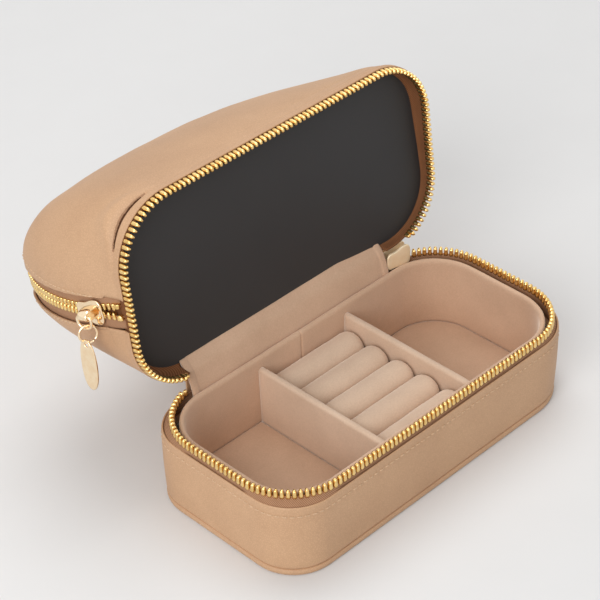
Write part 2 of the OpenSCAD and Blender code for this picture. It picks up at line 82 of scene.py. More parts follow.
# Sizes of the leather shell. The flats are half the straight lengths between the rim's corners
RIM_R = 29.0
FLAT_X, FLAT_Y = HALF_W - RIM_R, HALF_D - RIM_R
TAPE_IN = 1.2
TAPE_T = 0.7
TAPE_MID = TAPE_IN + TAPE_T / 2
TAPE_RISE = 2.65
BASE_SEAM = 2.9
STITCH_DROP = 4.4
STITCH_PITCH = 3.1
STITCH_L = 2.3
STITCH_R = 0.36

# The wall's corner radii at its rim and foot: back right, back left, front left and front right
WALL_RIM_R = np.array([29.0, 21.5, 22.0, 25.0])
WALL_FOOT_R = np.array([25.0, 21.5, 20.5, 27.5])

# Sizes of the zips. Angles are on the back corners, counted from the case's ends
PITCH = 2.5
TOOTH_FOOT = 2.1
TOOTH_LEAN = 0.02
LEFT_TEETH_ANGLE = 76.0
RIGHT_TEETH_ANGLE = 67.0
LEFT_STOP_GAP = 1.9
RIGHT_STOP_GAP = 1.2
TAPE_TUCK = 3.0

# Sizes of the velvet inside
LINER_OUT = 4.6
LINER_IN = 7.1
LINER_SEAM_X = -1.9
PANEL_Z = 3.5
PANEL_IN = 3.3
STRIP_T = 0.8

# Sizes of the pouch. Its ends bulge, and its zip leans back from the closed lid's upright
POUCH_H = 78.0
RIDGE_R = 18.0
POUCH_SWELL = 6.2
SWELL_H = 31.0
FLARE_L = 30.0
BAND_H = 7.0
SLIDER_ANGLE = 83.2
SKIRT_LOW = -1.9
SKIRT_HINGE = 0.6
ZIP_Y = 0.3
ZIP_LEAN = radians(9.0)
SHOULDER = 0.68
POUCH_HALF = HALF_W + POUCH_SWELL
END_R = (SWELL_H ** 2 + POUCH_SWELL ** 2) / (2 * POUCH_SWELL)
END_X = POUCH_HALF - END_R
CORNER_TURN = asin((POUCH_H - RIDGE_R - SWELL_H) / (END_R - RIDGE_R))
CORNER_X = END_X + (END_R - RIDGE_R) * cos(CORNER_TURN)
POUCH_TAPE_START = 0.8
CHAIN_SHIFT = -0.4
POUCH_SLIDER_H = 15.5
LEATHER_T = 0.75
LINING_FACES = (1.9, 2.4)

# By panel, -1 in front and 1 at the back: zip edge's place, and fullness at the left, middle and right
ZIP_EDGE = {-1: 6.9, 1: 6.8}
FULLNESS = {-1: (0.41, 0.575, 0.06), 1: (0.215, 0.945, 0.45)}

# Rows and columns of a panel's grid
HEM = ((1.6, 1.35), (0.5, 1.25), (0.08, 0.75), (0.05, 0.25))
BOW_SHARES = np.r_[0.0, 0.012, 0.03, np.linspace(0.055, 0.93, 30), 0.955, 0.975, 0.99]
PANEL_COLUMNS = 200

# The fold at the lid's front left corner: its middle along the rim, how far it spreads, and its
# profile of heights above the crease and how far out the leather goes there
FOLD_RUN = 41
FOLD_SPREAD = 12
CREASE_SPREAD = 14
FOLD_AT = (-4.0, -2.2, -1.3, -0.8, -0.6, -0.3, 0.3, 0.8, 1.5, 2.2, 3.2, 4.5, 6.0, 8.0, 11.0)
FOLD_OUT = (0.0, 0.2, 0.6, 0.5, -0.6, -2.4, -2.4, -1.8, -0.8, 0.0, 0.8, 1.4, 1.5, 0.9, 0.0)

# Sizes of the sliders and pulls, in a frame with X along the zip, Y outwards and Z across the zip
SLIDER_L = 13.5
CHANNEL = 1.25
ARC_ROOM = SLIDER_L ** 2 / (8 * (RIM_R - TAPE_MID))
PLATE_T = 0.7
POST_Z = {"main": 0.8, "pouch": 0.0}
POST_HALF_X = 1.2
POST_HALF_Z = 0.4
POST_EASE = 0.12
BAIL_Y = 6.2
BAIL_W = 8.6
BAIL_L = 5.8
BAIL_WIRE = 0.6
RING_R = 3.8
RING_WIRE = 0.5
PIN_FIT = 0.1
BAIL_DROP = BAIL_L - BAIL_WIRE
RING_Z = -BAIL_DROP - (RING_R - RING_WIRE - BAIL_WIRE - PIN_FIT)
EYE_Z = RING_Z - RING_R
TAB_L = 24.0
TAB_W = 9.6
TAB_T = 1.2
TAB_OVAL = 2.25
EYE_IN = 2.3
EYE_R = 1.1

# The photograph's camera
CAM_AZIMUTH = radians(-43.3647)
CAM_ELEVATION = radians(36.618)
CAM_ROLL = radians(-2.5036)
CAM_DISTANCE = 889.683
CAM_SIDE = -28.5296
CAM_LIFT = 27.1526
CAM_TARGET = np.array([0.0, 0.0, 40.0])
CAM_LENS = 124.94


# Mesh helpers


def lid_turn(points):
    """Points of the closed lid, turned to the open lid."""
    c, s = cos(LID_OPEN), sin(LID_OPEN)
    pivot = np.array([0.0, HINGE_Y, LID_Z])
    return (np.asarray(points, float) - pivot) @ [[1, 0, 0], [0, c, -s], [0, s, c]] + pivot


def piece(name, points, faces, material, body=None, *nodes):
    """An object on a body, in place of nodes. The lid's are given closed."""
    points = np.asarray(points, float).reshape(-1, 3)
    if body == "lid":
        points = lid_turn(points)
    mesh = bpy.data.meshes.new(name)
    mesh.from_pydata((points * MM).tolist(), [], [list(map(int, f)) for f in faces])
    mesh.validate()
    work = bmesh.new()
    work.from_mesh(mesh)
    bmesh.ops.recalc_face_normals(work, faces=work.faces)
    work.to_mesh(mesh)
    work.free()
    mesh.shade_smooth()
    mesh.materials.append(material)
    obj = bpy.data.objects.new(name, mesh)
    bpy.context.scene.collection.objects.link(obj)
    if body:
        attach(obj, body)
    if nodes:
        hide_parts(*nodes)
    return obj


def grid_faces(rows, columns, close_rows=False, close_columns=False, start=0):
    """Quads of a grid stored row by row."""
    faces = []
    for i in range(rows if close_rows else rows - 1):
        a, b = start + i * columns, start + (i + 1) % rows * columns
        for j in range(columns if close_columns else columns - 1):
            k = (j + 1) % columns
            faces.append((a + j, a + k, b + k, b + j))
    return faces


def loft_faces(rows, columns, ring=False):
    """Quads of a stack of loops with filled ends, or of a closed ring."""
    faces = grid_faces(rows, columns, ring, True)
    if ring:
        return faces
    return faces + [tuple(range(columns)), tuple(range((rows - 1) * columns, rows * columns))]


def loft(name, loops, material, body, *nodes, ring=False):
    rows, columns = np.shape(loops)[:2]
    return piece(name, loops, loft_faces(rows, columns, ring), material, body, *nodes)


def thick_sheet(name, outer, inner, material, body=None, *nodes):
    """A closed skin between two grids."""
    rows, columns = outer.shape[:2]
    count = rows * columns
    faces = grid_faces(rows, columns) + grid_faces(rows, columns, start=count)
    ids = np.arange(count).reshape(rows, columns)
    border = np.r_[ids[0], ids[1:, -1], ids[-1, -2::-1], ids[-2:0:-1, 0]]
    for a, b in zip(border, np.roll(border, -1)):
        faces.append((a, b, count + b, count + a))
    points = np.concatenate([outer.reshape(-1, 3), inner.reshape(-1, 3)])
    return piece(name, points, faces, material, body, *nodes)


def at(place, points):
    """Points at a place: an origin and three axes."""
    origin, axes = place
    return origin + points @ np.array(axes)


def merge(parts):
    points, faces = [], []
    for p, f in parts:
        start = sum(len(x) for x in points)
        points.append(p)
        faces += [tuple(i + start for i in face) for face in f]
    return np.concatenate(points), faces


def copies(name, points, faces, places, material, body, *nodes):
    points, faces = merge([(at(place, points), faces) for place in places])
    return piece(name, points, faces, material, body, *nodes)


def unit(vectors):
    return vectors / np.maximum(np.linalg.norm(vectors, axis=-1, keepdims=True), 1e-9)


def run_of(path):
    """Lengths along a path to its points."""
    return np.r_[0, np.cumsum(np.linalg.norm(np.diff(path, axis=0), axis=1))]


def points_at(marks, run, path):
    """Points of a path at lengths along it."""
    return np.column_stack([np.interp(marks, run, line) for line in path.T])


def tube(path, radius, closed=False):
    """A round tube along a flat path."""
    path = np.asarray(path, float)
    ahead = np.roll(path, -1, 0) - np.roll(path, 1, 0)
    if not closed:
        ahead[0] = path[1] - path[0]
        ahead[-1] = path[-1] - path[-2]
    flat = np.linalg.svd(path - path.mean(0))[2][2]
    turn = np.linspace(0, 2 * pi, 12, endpoint=False)[:, None]
    rings = []
    for p, t in zip(path, unit(ahead)):
        side = unit(np.cross(t, flat))
        rings.append(p + radius * (np.cos(turn) * side + np.sin(turn) * np.cross(side, t)))
    return np.concatenate(rings), loft_faces(len(path), len(turn), closed)


def ripple(points, size, height, seed=0.0):
    """A smooth seeded unevenness for each point."""
    flat = points.reshape(-1, 3) / size + seed
    values = np.array([noise.noise(Vector(p)) for p in flat])
    return height * values.reshape(points.shape[:-1])


def bell(value, middle, width):
    return np.exp(-((value - middle) / width) ** 2)


def outwards(points):
    """Level directions from the case's middle."""
    return unit(points * [0.45, 0.8, 0.0])


# Outlines


CORNER_SIGNS = ((1, 1), (-1, 1), (-1, -1), (1, -1))
SIDE_SHARES = np.linspace(0, 1, 18)[1:-1]


def level(flat, z):
    return np.column_stack([flat, np.full(len(flat), float(z))])


def wall_radius(z):
    share = np.clip((z - BASE_T) / (WALL_H - BASE_T), 0, 1)
    return WALL_FOOT_R + (WALL_RIM_R - WALL_FOOT_R) * share


def rim_loops(profile, radius=None, shares=SIDE_SHARES):
    """Rounded rectangles of insets and heights, with the wall's corners if no radius is given."""
    share = shares[:, None]
    loops = []
    for inset, z in profile:
        radii = np.broadcast_to(wall_radius(z) if radius is None else radius, 4)
        arcs, flat = [], []
        for corner, (r, (sx, sy)) in enumerate(zip(radii, CORNER_SIGNS)):
            turn = np.radians(90 * corner + np.linspace(0, 90, 15))
            x = sx * (HALF_W - r) + (r - inset) * np.cos(turn)
            y = sy * (HALF_D - r) + (r - inset) * np.sin(turn)
            arcs.append(np.stack([x, y], 1))
        for arc, after in zip(arcs, arcs[1:] + arcs[:1]):
            flat += [arc, arc[-1] * (1 - share) + after[0] * share]
        loops.append(level(np.concatenate(flat), z))
    return np.array(loops)


def heading(turn):
    return np.array([cos(turn), sin(turn)])


def walk(s, p, turn, runs):
    """Place and outward direction after a length of runs; straight ones have radius 0."""
    for length, radius in runs:
        d = min(s, length)
        s -= d
        if radius:
            p = p + radius * (heading(turn + d / radius) - heading(turn))
            turn += d / radius
        else:
            p = p + d * heading(turn + pi / 2)
    return p, heading(turn)


CHAIN_R = RIM_R - TAPE_MID
CHAIN_CORNER = (CHAIN_R * pi / 2, CHAIN_R)
CHAIN_RUNS = ((FLAT_X, 0), CHAIN_CORNER, (2 * FLAT_Y, 0), CHAIN_CORNER, (inf, 0))


def chain_reach(angle):
    """Length of the rim's zip from the front's middle to an angle on a back corner."""
    return sum(length for length, _ in CHAIN_RUNS[:3]) + CHAIN_R * radians(angle)


def chain_point(s):
    """Place and outward direction on the rim's zip, from the front's middle."""
    mirror = np.array([-1 if s < 0 else 1, 1])
    p, out = walk(abs(s), np.array([0, TAPE_MID - HALF_D]), -pi / 2, CHAIN_RUNS)
    return mirror * p, mirror * out


def chain_strip(profile, tuck, shift):
    """A strip along the rim's zip, from a profile of insets and heights."""
    left, right = (FLAT_X + chain_reach(90) - abs(x) + tuck for x in (HINGE_LEFT, HINGE_RIGHT))
    strip = []
    for s in np.linspace(-left, right, 280):
        p, out = chain_point(s)
        reach = [TAPE_MID - inset + shift(p, out, inset, z) for inset, z in profile]
        strip.append([[*(p + out * r), z] for r, (inset, z) in zip(reach, profile)])
    return np.array(strip)


def forward(p):
    """The bulge of the lid's lining, most at the back right."""
    return 3.0 * np.clip((p[..., 1] + 20) / 60, 0, 1) * np.clip((p[..., 0] - 30) / 55, 0, 1)


def back_right(p):
    """1 at the lid's back right corner, 0 well away from it."""
    return np.clip((p[..., 1] + 45) / 50, 0, 1) * np.clip((p[..., 0] - 40) / 15, 0, 1)


def rim_arch(rise):
    """Half of the lid's rim beside the pouch's zip."""
    return np.array([HALF_W, 0.0]), 0.0, ((rise - RIM_R, 0), (RIM_R * pi / 2, RIM_R), (FLAT_X, 0))


def pouch_arch(inset, foot):
    """Half of the pouch's zip: bulging end, round corner and ridge."""
    end_r, corner_r = END_R - inset, RIDGE_R - inset
    turn = asin((foot - SWELL_H) / end_r)
    end, corner = end_r * (CORNER_TURN - turn), corner_r * (pi / 2 - CORNER_TURN)
    start = np.array([END_X, SWELL_H]) + end_r * heading(turn)
    return start, turn, ((end, end_r), (corner, corner_r), (CORNER_X, 0))


def arch_length(arch):
    return 2 * sum(length for length, _ in arch[2])


def on_arch(s, arch):
    """Place and outward direction on two mirrored halves, from the left foot."""
    total = arch_length(arch)
    mirror = np.array([1 if s > total / 2 else -1, 1])
    p, out = walk(min(s, total - s), *arch)
    return mirror * p, mirror * out


ZIP_ARCH = pouch_arch(TAPE_MID, POUCH_TAPE_START)


def on_zip(x, y, h):
    """A place on the closed lid, by y across and h up the pouch zip's plane."""
    c, s = cos(ZIP_LEAN), sin(ZIP_LEAN)
    return np.array([x, ZIP_Y + y * c + h * s, LID_Z - y * s + h * c])


def zip_way(x, y, h):
    return on_zip(x, y, h) - on_zip(0, 0, 0)


# Material helpers


def plug(tree, socket, value):
    """Link a socket, or set its value."""
    if isinstance(value, bpy.types.NodeSocket):
        tree.links.new(value, socket)
    else:
        socket.default_value = value


def feed(tree, node, *values):
    """Fill a node's inputs in order."""
    for socket, value in zip(node.inputs, values):
        plug(tree, socket, value)
    return node


def add_node(tree, kind, **values):
    """A node with named inputs and properties."""
    node = tree.nodes.new(kind)
    for key, value in values.items():
        if key in node.inputs:
            plug(tree, node.inputs[key], value)
        else:
            setattr(node, key, value)
    return node


def dress(tree, values):
    for key, value in values.items():
        plug(tree, tree.nodes["Principled BSDF"].inputs[key], value)


def new_material(name, color, roughness, metallic=0.0, turn=(0, 0, 0)):
    """A material, its tree and its place on the object."""
    material = bpy.data.materials.new(name)
    material.use_nodes = True
    tree = material.node_tree
    dress(tree, {"Base Color": (*color, 1), "Roughness": roughness, "Metallic": metallic})
    place = add_node(tree, "ShaderNodeTexCoord").outputs["Object"]
    mapping = add_node(tree, "ShaderNodeMapping", Vector=place, Rotation=turn)
    return material, tree, mapping.outputs["Vector"]


def noise_texture(tree, place, scale, detail=3.0, roughness=0.55):
    values = {"Vector": place, "Scale": scale, "Detail": detail, "Roughness": roughness}
    return add_node(tree, "ShaderNodeTexNoise", **values).outputs["Fac"]


def color_ramp(tree, value, *stops):
    node = add_node(tree, "ShaderNodeValToRGB", Fac=value)
    for element, (position, color) in zip(node.color_ramp.elements, stops):
        element.position = position
        element.color = (*color, 1)
    return node.outputs["Color"]


def value_range(tree, value, low, high):
    values = {"Value": value, "To Min": low, "To Max": high}
    return add_node(tree, "ShaderNodeMapRange", **values).outputs["Result"]


def math_node(tree, operation, a, b):
    return feed(tree, add_node(tree, "ShaderNodeMath", operation=operation), a, b).outputs["Value"]


def multiply_color(tree, factor, a, b):
    node = add_node(tree, "ShaderNodeMix", data_type="RGBA", blend_type="MULTIPLY")
    colors = [s for s in node.inputs if s.type == "RGBA"]
    for socket, value in zip([node.inputs[0], *colors], (factor, a, b)):
        plug(tree, socket, value)
    return next(s for s in node.outputs if s.type == "RGBA")


def bump(tree, height, strength, distance):
    values = {"Height": height, "Strength": strength, "Distance": distance * MM}
    return add_node(tree, "ShaderNodeBump", **values).outputs["Normal"]


# Materials


def make_leather():
    """Tan leather with a fine pressed grain."""
    material, tree, place = new_material("tan_leather", (0.58, 0.36, 0.21), 0.6)
    wander = noise_texture(tree, place, 26, 4)
    tone = color_ramp(tree, wander, (0.3, (0.545, 0.326, 0.184)), (0.7, (0.625, 0.388, 0.226)))
    jitter = add_node(tree, "ShaderNodeTexNoise", Vector=place, Scale=420, Detail=2).outputs["Color"]
    bend = add_node(tree, "ShaderNodeVectorMath", operation="MULTIPLY_ADD")
    feed(tree, bend, jitter, (0.0009, 0.0009, 0.0009), place)
    cells = add_node(tree, "ShaderNodeTexVoronoi", feature="DISTANCE_TO_EDGE", Scale=1050)
    plug(tree, cells.inputs["Vector"], bend.outputs["Vector"])
    grain = cells.outputs["Distance"]
    pore = color_ramp(tree, grain, (0.0, (0.8, 0.77, 0.74)), (0.25, (1, 1, 1)))
    fine = math_node(tree, "MULTIPLY", noise_texture(tree, place, 2400, 2), 0.12)
    height = math_node(tree, "ADD", math_node(tree, "MINIMUM", grain, 0.3), fine)
    dress(tree, {
        "Base Color": multiply_color(tree, 0.6, tone, pore),
        "Normal": bump(tree, height, 0.3, 0.2),
        "Roughness": value_range(tree, wander, 0.52, 0.62),
        "Specular IOR Level": 0.5,
    })
    return material


def make_velvet(name, dark, light):
    """Velvet: a short nap that lightens at a slant."""
    material, tree, place = new_material(name, light, 0.9)
    tone = color_ramp(tree, noise_texture(tree, place, 40, 5, 0.6), (0.28, dark), (0.72, light))
    nap = noise_texture(tree, place, 1500, 3, 0.7)
    speck = color_ramp(tree, nap, (0.3, (0.86, 0.84, 0.82)), (0.7, (1, 1, 1)))
    dress(tree, {
        "Base Color": multiply_color(tree, 0.8, tone, speck),
        "Normal": bump(tree, nap, 0.35, 0.18),
        "Specular IOR Level": 0.1,
        "Sheen Weight": 0.75,
        "Sheen Roughness": 0.45,
        "Sheen Tint": (0.98, 0.87, 0.76, 1),
    })
    return material


def make_tape(name, dark, light):
    """Woven tape with a fine slanted rib."""
    material, tree, place = new_material(name, light, 0.85, turn=(0.6, 0.5, 0.7))
    values = {"Vector": place, "Scale": 520, "Distortion": 0.6, "Detail": 1, "Detail Scale": 3}
    rib = add_node(tree, "ShaderNodeTexWave", **values).outputs["Fac"]
    wander = math_node(tree, "MULTIPLY", noise_texture(tree, place, 160), 0.3)
    weave = math_node(tree, "ADD", math_node(tree, "MULTIPLY", rib, 0.7), wander)
    dress(tree, {
        "Base Color": color_ramp(tree, weave, (0.15, dark), (0.85, light)),
        "Normal": bump(tree, weave, 0.5, 0.2),
        "Specular IOR Level": 0.15,
    })
    return material


def make_smooth(name, roughness, dark, light, wear, grain, metallic=0.0, specular=0.5):
    """Plated metal with faint wear, or satin with a bloom."""
    material, tree, place = new_material(name, light[1], roughness[0], metallic)
    cloud = noise_texture(tree, place, *wear)
    scale, strength = grain
    dress(tree, {
        "Base Color": color_ramp(tree, cloud, dark, light),
        "Roughness": value_range(tree, cloud, *roughness),
        "Normal": bump(tree, noise_texture(tree, place, scale, 2), strength, 0.05),
        "Specular IOR Level": specular,
    })
    return material


def make_metal(name, color, dull, roughness, metallic=1.0):
    return make_smooth(name, roughness, (0.35, dull), (0.6, color), (340, 4), (1300, 0.12), metallic)


def make_plain(name, dark, light, scale, roughness):
    """Two tones in a fine grain."""
    material, tree, place = new_material(name, light, roughness)
    grain = noise_texture(tree, place, scale, 4)
    dress(tree, {
        "Base Color": color_ramp(tree, grain, (0.3, dark), (0.7, light)),
        "Normal": bump(tree, grain, 0.4, 0.15),
        "Specular IOR Level": 0.15,
    })
    return material


LEATHER = make_leather()
# Two copies of one velvet: the first a little darker and warmer as painted shade, for the walls, floors, bed
# and hinge; the second paler as painted light, for the rolls and dividers
VELVET = make_velvet("beige_velvet_painted_shade", (0.622, 0.414, 0.283), (0.72, 0.494, 0.346))
LIT_VELVET_COPY = make_velvet("velvet_painted_light", (0.66, 0.48, 0.352), (0.764, 0.572, 0.43))
TAPE = make_tape("tan_tape", (0.26, 0.13, 0.07), (0.5, 0.285, 0.168))
LID_TAPE = make_tape("lid_tape", (0.135, 0.053, 0.021), (0.26, 0.112, 0.05))
BRASS = make_metal("zip_brass", (0.9, 0.65, 0.28), (0.76, 0.5, 0.18), (0.16, 0.3))
GOLD = make_metal("pale_gold", (0.97, 0.79, 0.55), (0.92, 0.7, 0.45), (0.08, 0.18))
SATIN_GOLD = make_metal("satin_gold", (0.95, 0.8, 0.57), (0.92, 0.76, 0.52), (0.5, 0.6), 0.45)
DARK = make_smooth("dark_satin", (0.46, 0.56), (0.25, (0.034, 0.033, 0.034)), (0.75, (0.04, 0.039, 0.04)),
                   (14, 3), (2600, 0.08), specular=0.25)
THREAD = make_plain("tan_thread", (0.5, 0.33, 0.2), (0.74, 0.52, 0.34), 1800, 0.7)
BOARD = make_plain("grey_board", (0.2, 0.18, 0.16), (0.32, 0.29, 0.26), 500, 0.9)
# Painted shadow and painted soft shade: dark brown and mid brown stand in for the shadow inside the fold's
# crease
CREASE_PAINTED_SHADOW = make_plain("crease_painted_shadow", (0.075, 0.032, 0.014), (0.11, 0.048, 0.022), 900, 0.8)
CREASE_SHADE = make_plain("shaded_leather", (0.35, 0.2, 0.115), (0.42, 0.245, 0.145), 900, 0.7)
LINING = make_plain("brown_lining", (0.06, 0.033, 0.02), (0.13, 0.075, 0.045), 900, 0.8)
FLOOR = make_plain("pale_floor", (0.77, 0.77, 0.77), (0.78, 0.78, 0.78), 30, 0.8)


# Stitches


def stitch_template():
    """A stitch along X that dips in at both ends."""
    turn = np.linspace(0, 2 * pi, 8, endpoint=False)
    rings = []
    for share in np.linspace(-1, 1, 7):
        girth = STITCH_R * sqrt(max(1 - 0.75 * share ** 4, 0.05))
        lift = -0.55 * STITCH_R * share ** 4
        along = np.full(8, share * STITCH_L / 2)
        rings.append(np.stack([along, girth * np.cos(turn), lift + girth * np.sin(turn)], 1))
    return np.concatenate(rings), loft_faces(7, 8)


def stitch_row(name, path, out, body):
    """Even stitches on a path with outward directions."""
    run = run_of(path)
    count = int(run[-1] / STITCH_PITCH)
    marks = (np.arange(count) + 0.5) * run[-1] / count
    middles = points_at(marks, run, path)
    aheads = unit(points_at(marks + 0.3, run, path) - middles)
    places = []
    for p, n, ahead in zip(middles, points_at(marks, run, out), aheads):
        n = unit(n - ahead * (n @ ahead))
        places.append((p, [ahead, np.cross(n, ahead), n]))
    copies(name, *stitch_template(), places, THREAD, body)


# Box


def make_box_wall():
    """Leather wall with a folded top, a base seam and stitches."""
    stitch_z = WALL_H - STITCH_DROP
    profile = [(2.4, 3.2), (0.9, 3.0)]
    for z in np.r_[np.linspace(3.1, 6.0, 7), np.linspace(8.0, 34.6, 34)]:
        fold = 0.95 * bell(z, BASE_SEAM, 0.75)
        swell = 0.35 * sin(pi * (z - 3) / (WALL_H - 3))
        dent = 0.2 * bell(z, stitch_z, 0.6)
        profile.append((fold - swell + dent, z))
    profile += [(0.02, 35.3), (0.16, 35.75), (0.45, 35.98), (0.75, 35.85), (0.92, 35.5)]
    profile += [(0.95, 34.0), (0.95, 30.0), (2.4, 30.0)]
    loops = rim_loops(profile)
    loops += outwards(loops) * ripple(loops, 22, 0.12)[..., None]
    loft("box_leather", loops, LEATHER, "box", "box_leather_wall", ring=True)
    row, inner = rim_loops([(-0.08, stitch_z), (1.0, stitch_z)])
    path, out = (np.concatenate([line, line[:1]]) for line in (row, row - inner))
    stitch_row("box_stitching", path, out, "box")


def make_base():
    profile = [(1.6, 0.0), (0.6, 0.12), (0.1, 0.5), (-0.08, 1.1), (-0.12, 1.7), (-0.02, 2.3)]
    profile += [(0.3, 2.75), (0.9, 2.95), (1.9, 3.0)]
    loft("base_leather", rim_loops(profile, WALL_FOOT_R), LEATHER, "box", "box_base_leather")


def make_boards():
    loops = rim_loops([(2.5, 3.2), (2.5, 27.5), (3.6, 27.5), (3.6, 3.2)])
    loft("wall_board", loops, BOARD, "box", "box_wall_board", ring=True)
    loops = rim_loops([(1.6, corner[2]) for corner in node_box("box_base_board")], WALL_FOOT_R)
    loft("base_board", loops, BOARD, "box", "box_base_board")
    loops = rim_loops([(4.4, LID_Z + 4.55), (4.4, LID_Z + 6.0)], RIM_R)
    loft("lid_stiffener", loops, BOARD, "lid", "lid_board")


def tooth_template():
    """A tooth along Z: legs, a waist and a rounded head."""
    rings = [(0.00, 0.68, 0.9), (0.12, 0.88, 1.1), (0.5, 0.96, 1.2), (1.15, 0.96, 1.22)]
    rings += [(1.75, 0.86, 1.17), (2.3, 0.82, 1.13), (2.85, 0.8, 1.1), (3.3, 0.7, 1.02)]
    rings += [(3.75, 0.48, 0.8), (4.05, 0.22, 0.44)]
    c = 0.62
    outline = [(1, c), (c, 1), (-c, 1), (-1, c), (-1, -c), (-c, -1), (c, -1), (1, -c)]
    points = [(half_x * x, half_y * y, z) for z, half_x, half_y in rings for x, y in outline]
    return np.array(points), loft_faces(len(rings), len(outline))


TOOTH, TOOTH_FACES = tooth_template()
STOP = TOOTH * [1.2, 0.7, 0.75]
FINE_TOOTH = TOOTH * [0.94, 1.0, 0.82]
FINE_STOP = FINE_TOOTH * [1.5, 1, 0.75]


def brass_row(name, tooth, places, body, node):
    copies(name, tooth, TOOTH_FACES, places, BRASS, body, node)


def rim_place(s, foot, up, lean=0.0):
    """A tooth's place; up is 1 on the box and -1 on the lid."""
    p, out = chain_point(s)
    normal, upright = np.array([*out, 0.0]), np.array([0, 0, float(up)])
    along = np.cross(normal, upright)
    return np.array([*p, foot]), [along, normal, unit(upright + lean * along)]


def make_rim_teeth(body, shift, foot, up):
    """A row of teeth round the rim, and its stops."""
    left, right = -chain_reach(LEFT_TEETH_ANGLE), chain_reach(RIGHT_TEETH_ANGLE)
    marks = range(ceil(left / PITCH - shift), floor(right / PITCH - shift) + 1)
    places = [rim_place((k + shift) * PITCH, foot, up, TOOTH_LEAN * sin(12.9 * k)) for k in marks]
    brass_row(f"{body}_teeth", TOOTH, places, body, f"{body}_zip_teeth")
    places = [rim_place(s, foot, up) for s in (left - LEFT_STOP_GAP, right + RIGHT_STOP_GAP)]
    brass_row(f"{body}_stops", STOP, places, body, f"{body}_zip_stops")


def slope_out(p, out, inset, z):
    """The box's tape slopes out to the wall's corners."""
    corner = CORNER_SIGNS.index((1 if p[0] > 0 else -1, 1 if p[1] > 0 else -1))
    slack = (RIM_R - wall_radius(z)[corner]) * max(abs(out[0]) + abs(out[1]) - 1, 0)
    return slack * np.clip((38.2 - z) / 2.4, 0, 1)


def make_box_zip():
    heights = np.r_[29, 32, 34.5, np.linspace(35.6, WALL_H + TAPE_RISE, 10)]
    faces = ([(inset, z) for z in heights] for inset in (TAPE_IN, TAPE_IN + TAPE_T))
    outer, inner = (chain_strip(face, TAPE_TUCK, slope_out) for face in faces)
    thick_sheet("box_tape", outer, inner, TAPE, "box", "box_zip_tape")
    make_rim_teeth("box", 0.5, WALL_H + TOOTH_FOOT, 1)


# Velvet inside


def make_liner():
    """Velvet liner with a rolled rim and a seam at the back."""
    profile = [(5.2, 3.2), (4.7, 10.0), (4.6, 28.0), (4.45, 35.5), (4.4, 36.8), (4.55, 37.6), (4.95, 38.15)]
    profile += [(5.5, 38.35), (6.1, 38.2), (6.6, 37.75), (6.9, 37.0), (7.0, 35.8)]
    profile += [(7.0 + 0.25 * share, 35.8 - 32.4 * share) for share in np.linspace(0.06, 1, 18)]
    profile += [(6.2, 3.1)]
    near = np.array([-1.8, -1.1, -0.7, -0.4, -0.15, 0.15, 0.4, 0.7, 1.1, 1.8])
    near_seam = (FLAT_X - LINER_SEAM_X + near) / (2 * FLAT_X)
    loops = rim_loops(profile, RIM_R, np.sort(np.r_[SIDE_SHARES, near_seam]))
    seam = 0.55 * bell(loops[..., 0], LINER_SEAM_X, 0.45) * (loops[..., 1] > 0)
    loops[..., 1] += seam * (np.array(profile)[:, :1] > 5.0)
    loops += outwards(loops) * ripple(loops, 17, 0.22, 3.0)[..., None]
    loft("velvet_liner", loops, VELVET, "box", "box_liner_wall", ring=True)


def room_loop(side, inset, z):
    """Outline of an end compartment, inset all round."""
    gap = LINER_IN + 0.1 + inset
    start, half_d, r = DIVIDER_X + 0.05 + inset, HALF_D - gap, RIM_R - gap
    outline = [(x, -half_d) for x in np.linspace(start, FLAT_X, 8)[:-1]]
    turn = np.radians(np.linspace(-90, 0, 11))
    outline += [(FLAT_X + r * cos(a), r * sin(a) - FLAT_Y) for a in turn]
    outline += [(x, -y) for x, y in outline[::-1]]
    outline += [(start, y) for y in np.linspace(half_d, -half_d, 14)[1:-1]]
    return level(np.array(outline) * [side, 1], z)


def make_floor(side, name):
    rings = [(0.0, 3.05), (0.0, 3.6), (0.25, 4.05), (0.9, 4.3), (2.0, 4.42), (4.5, 4.46), (8.0, 4.46)]
    rings += [(12.0, 4.48), (16.0, 4.48), (20.0, 4.48)]
    loops = np.array([room_loop(side, inset, z) for inset, z in rings])
    loops[4:, :, 2] += ripple(loops[4:], 12, 0.1, 7.0)
    loft(f"velvet_floor_{name}", loops, VELVET, "box", f"box_floor_{name}")


def make_divider(name):
    """Velvet divider with a rounded top and soft faces."""
    low, high = node_box(f"divider_{name}")
    middle = (low[0] + high[0]) / 2
    half, top, round_r = (high[0] - low[0]) / 2, high[2], 1.35
    outline = [(-half, low[2])]
    outline += [(-half, z) for z in np.linspace(low[2] + 2, top - round_r, 10)]
    outline += [(-half + round_r - round_r * cos(a), top - round_r + round_r * sin(a))
                for a in np.radians([22.5, 45, 67.5, 90])]
    outline += [(-x, z) for x, z in outline[::-1]]
    ys = np.linspace(low[1] - 0.6, high[1] + 0.6, 34)
    loops = np.array([[(middle + x, y, z) for x, z in outline] for y in ys])
    loops[..., 0] += np.sign(loops[..., 0] - middle) * ripple(loops, 14, 0.12, 11.0)
    loops[..., 2] += ripple(loops * [1, 1, 0], 16, 0.16, 5.0) * (loops[..., 2] > top - 2)
    # The divider takes the velvet copy with painted light
    loft(f"velvet_divider_{name}", loops, LIT_VELVET_COPY, "box", f"divider_{name}")


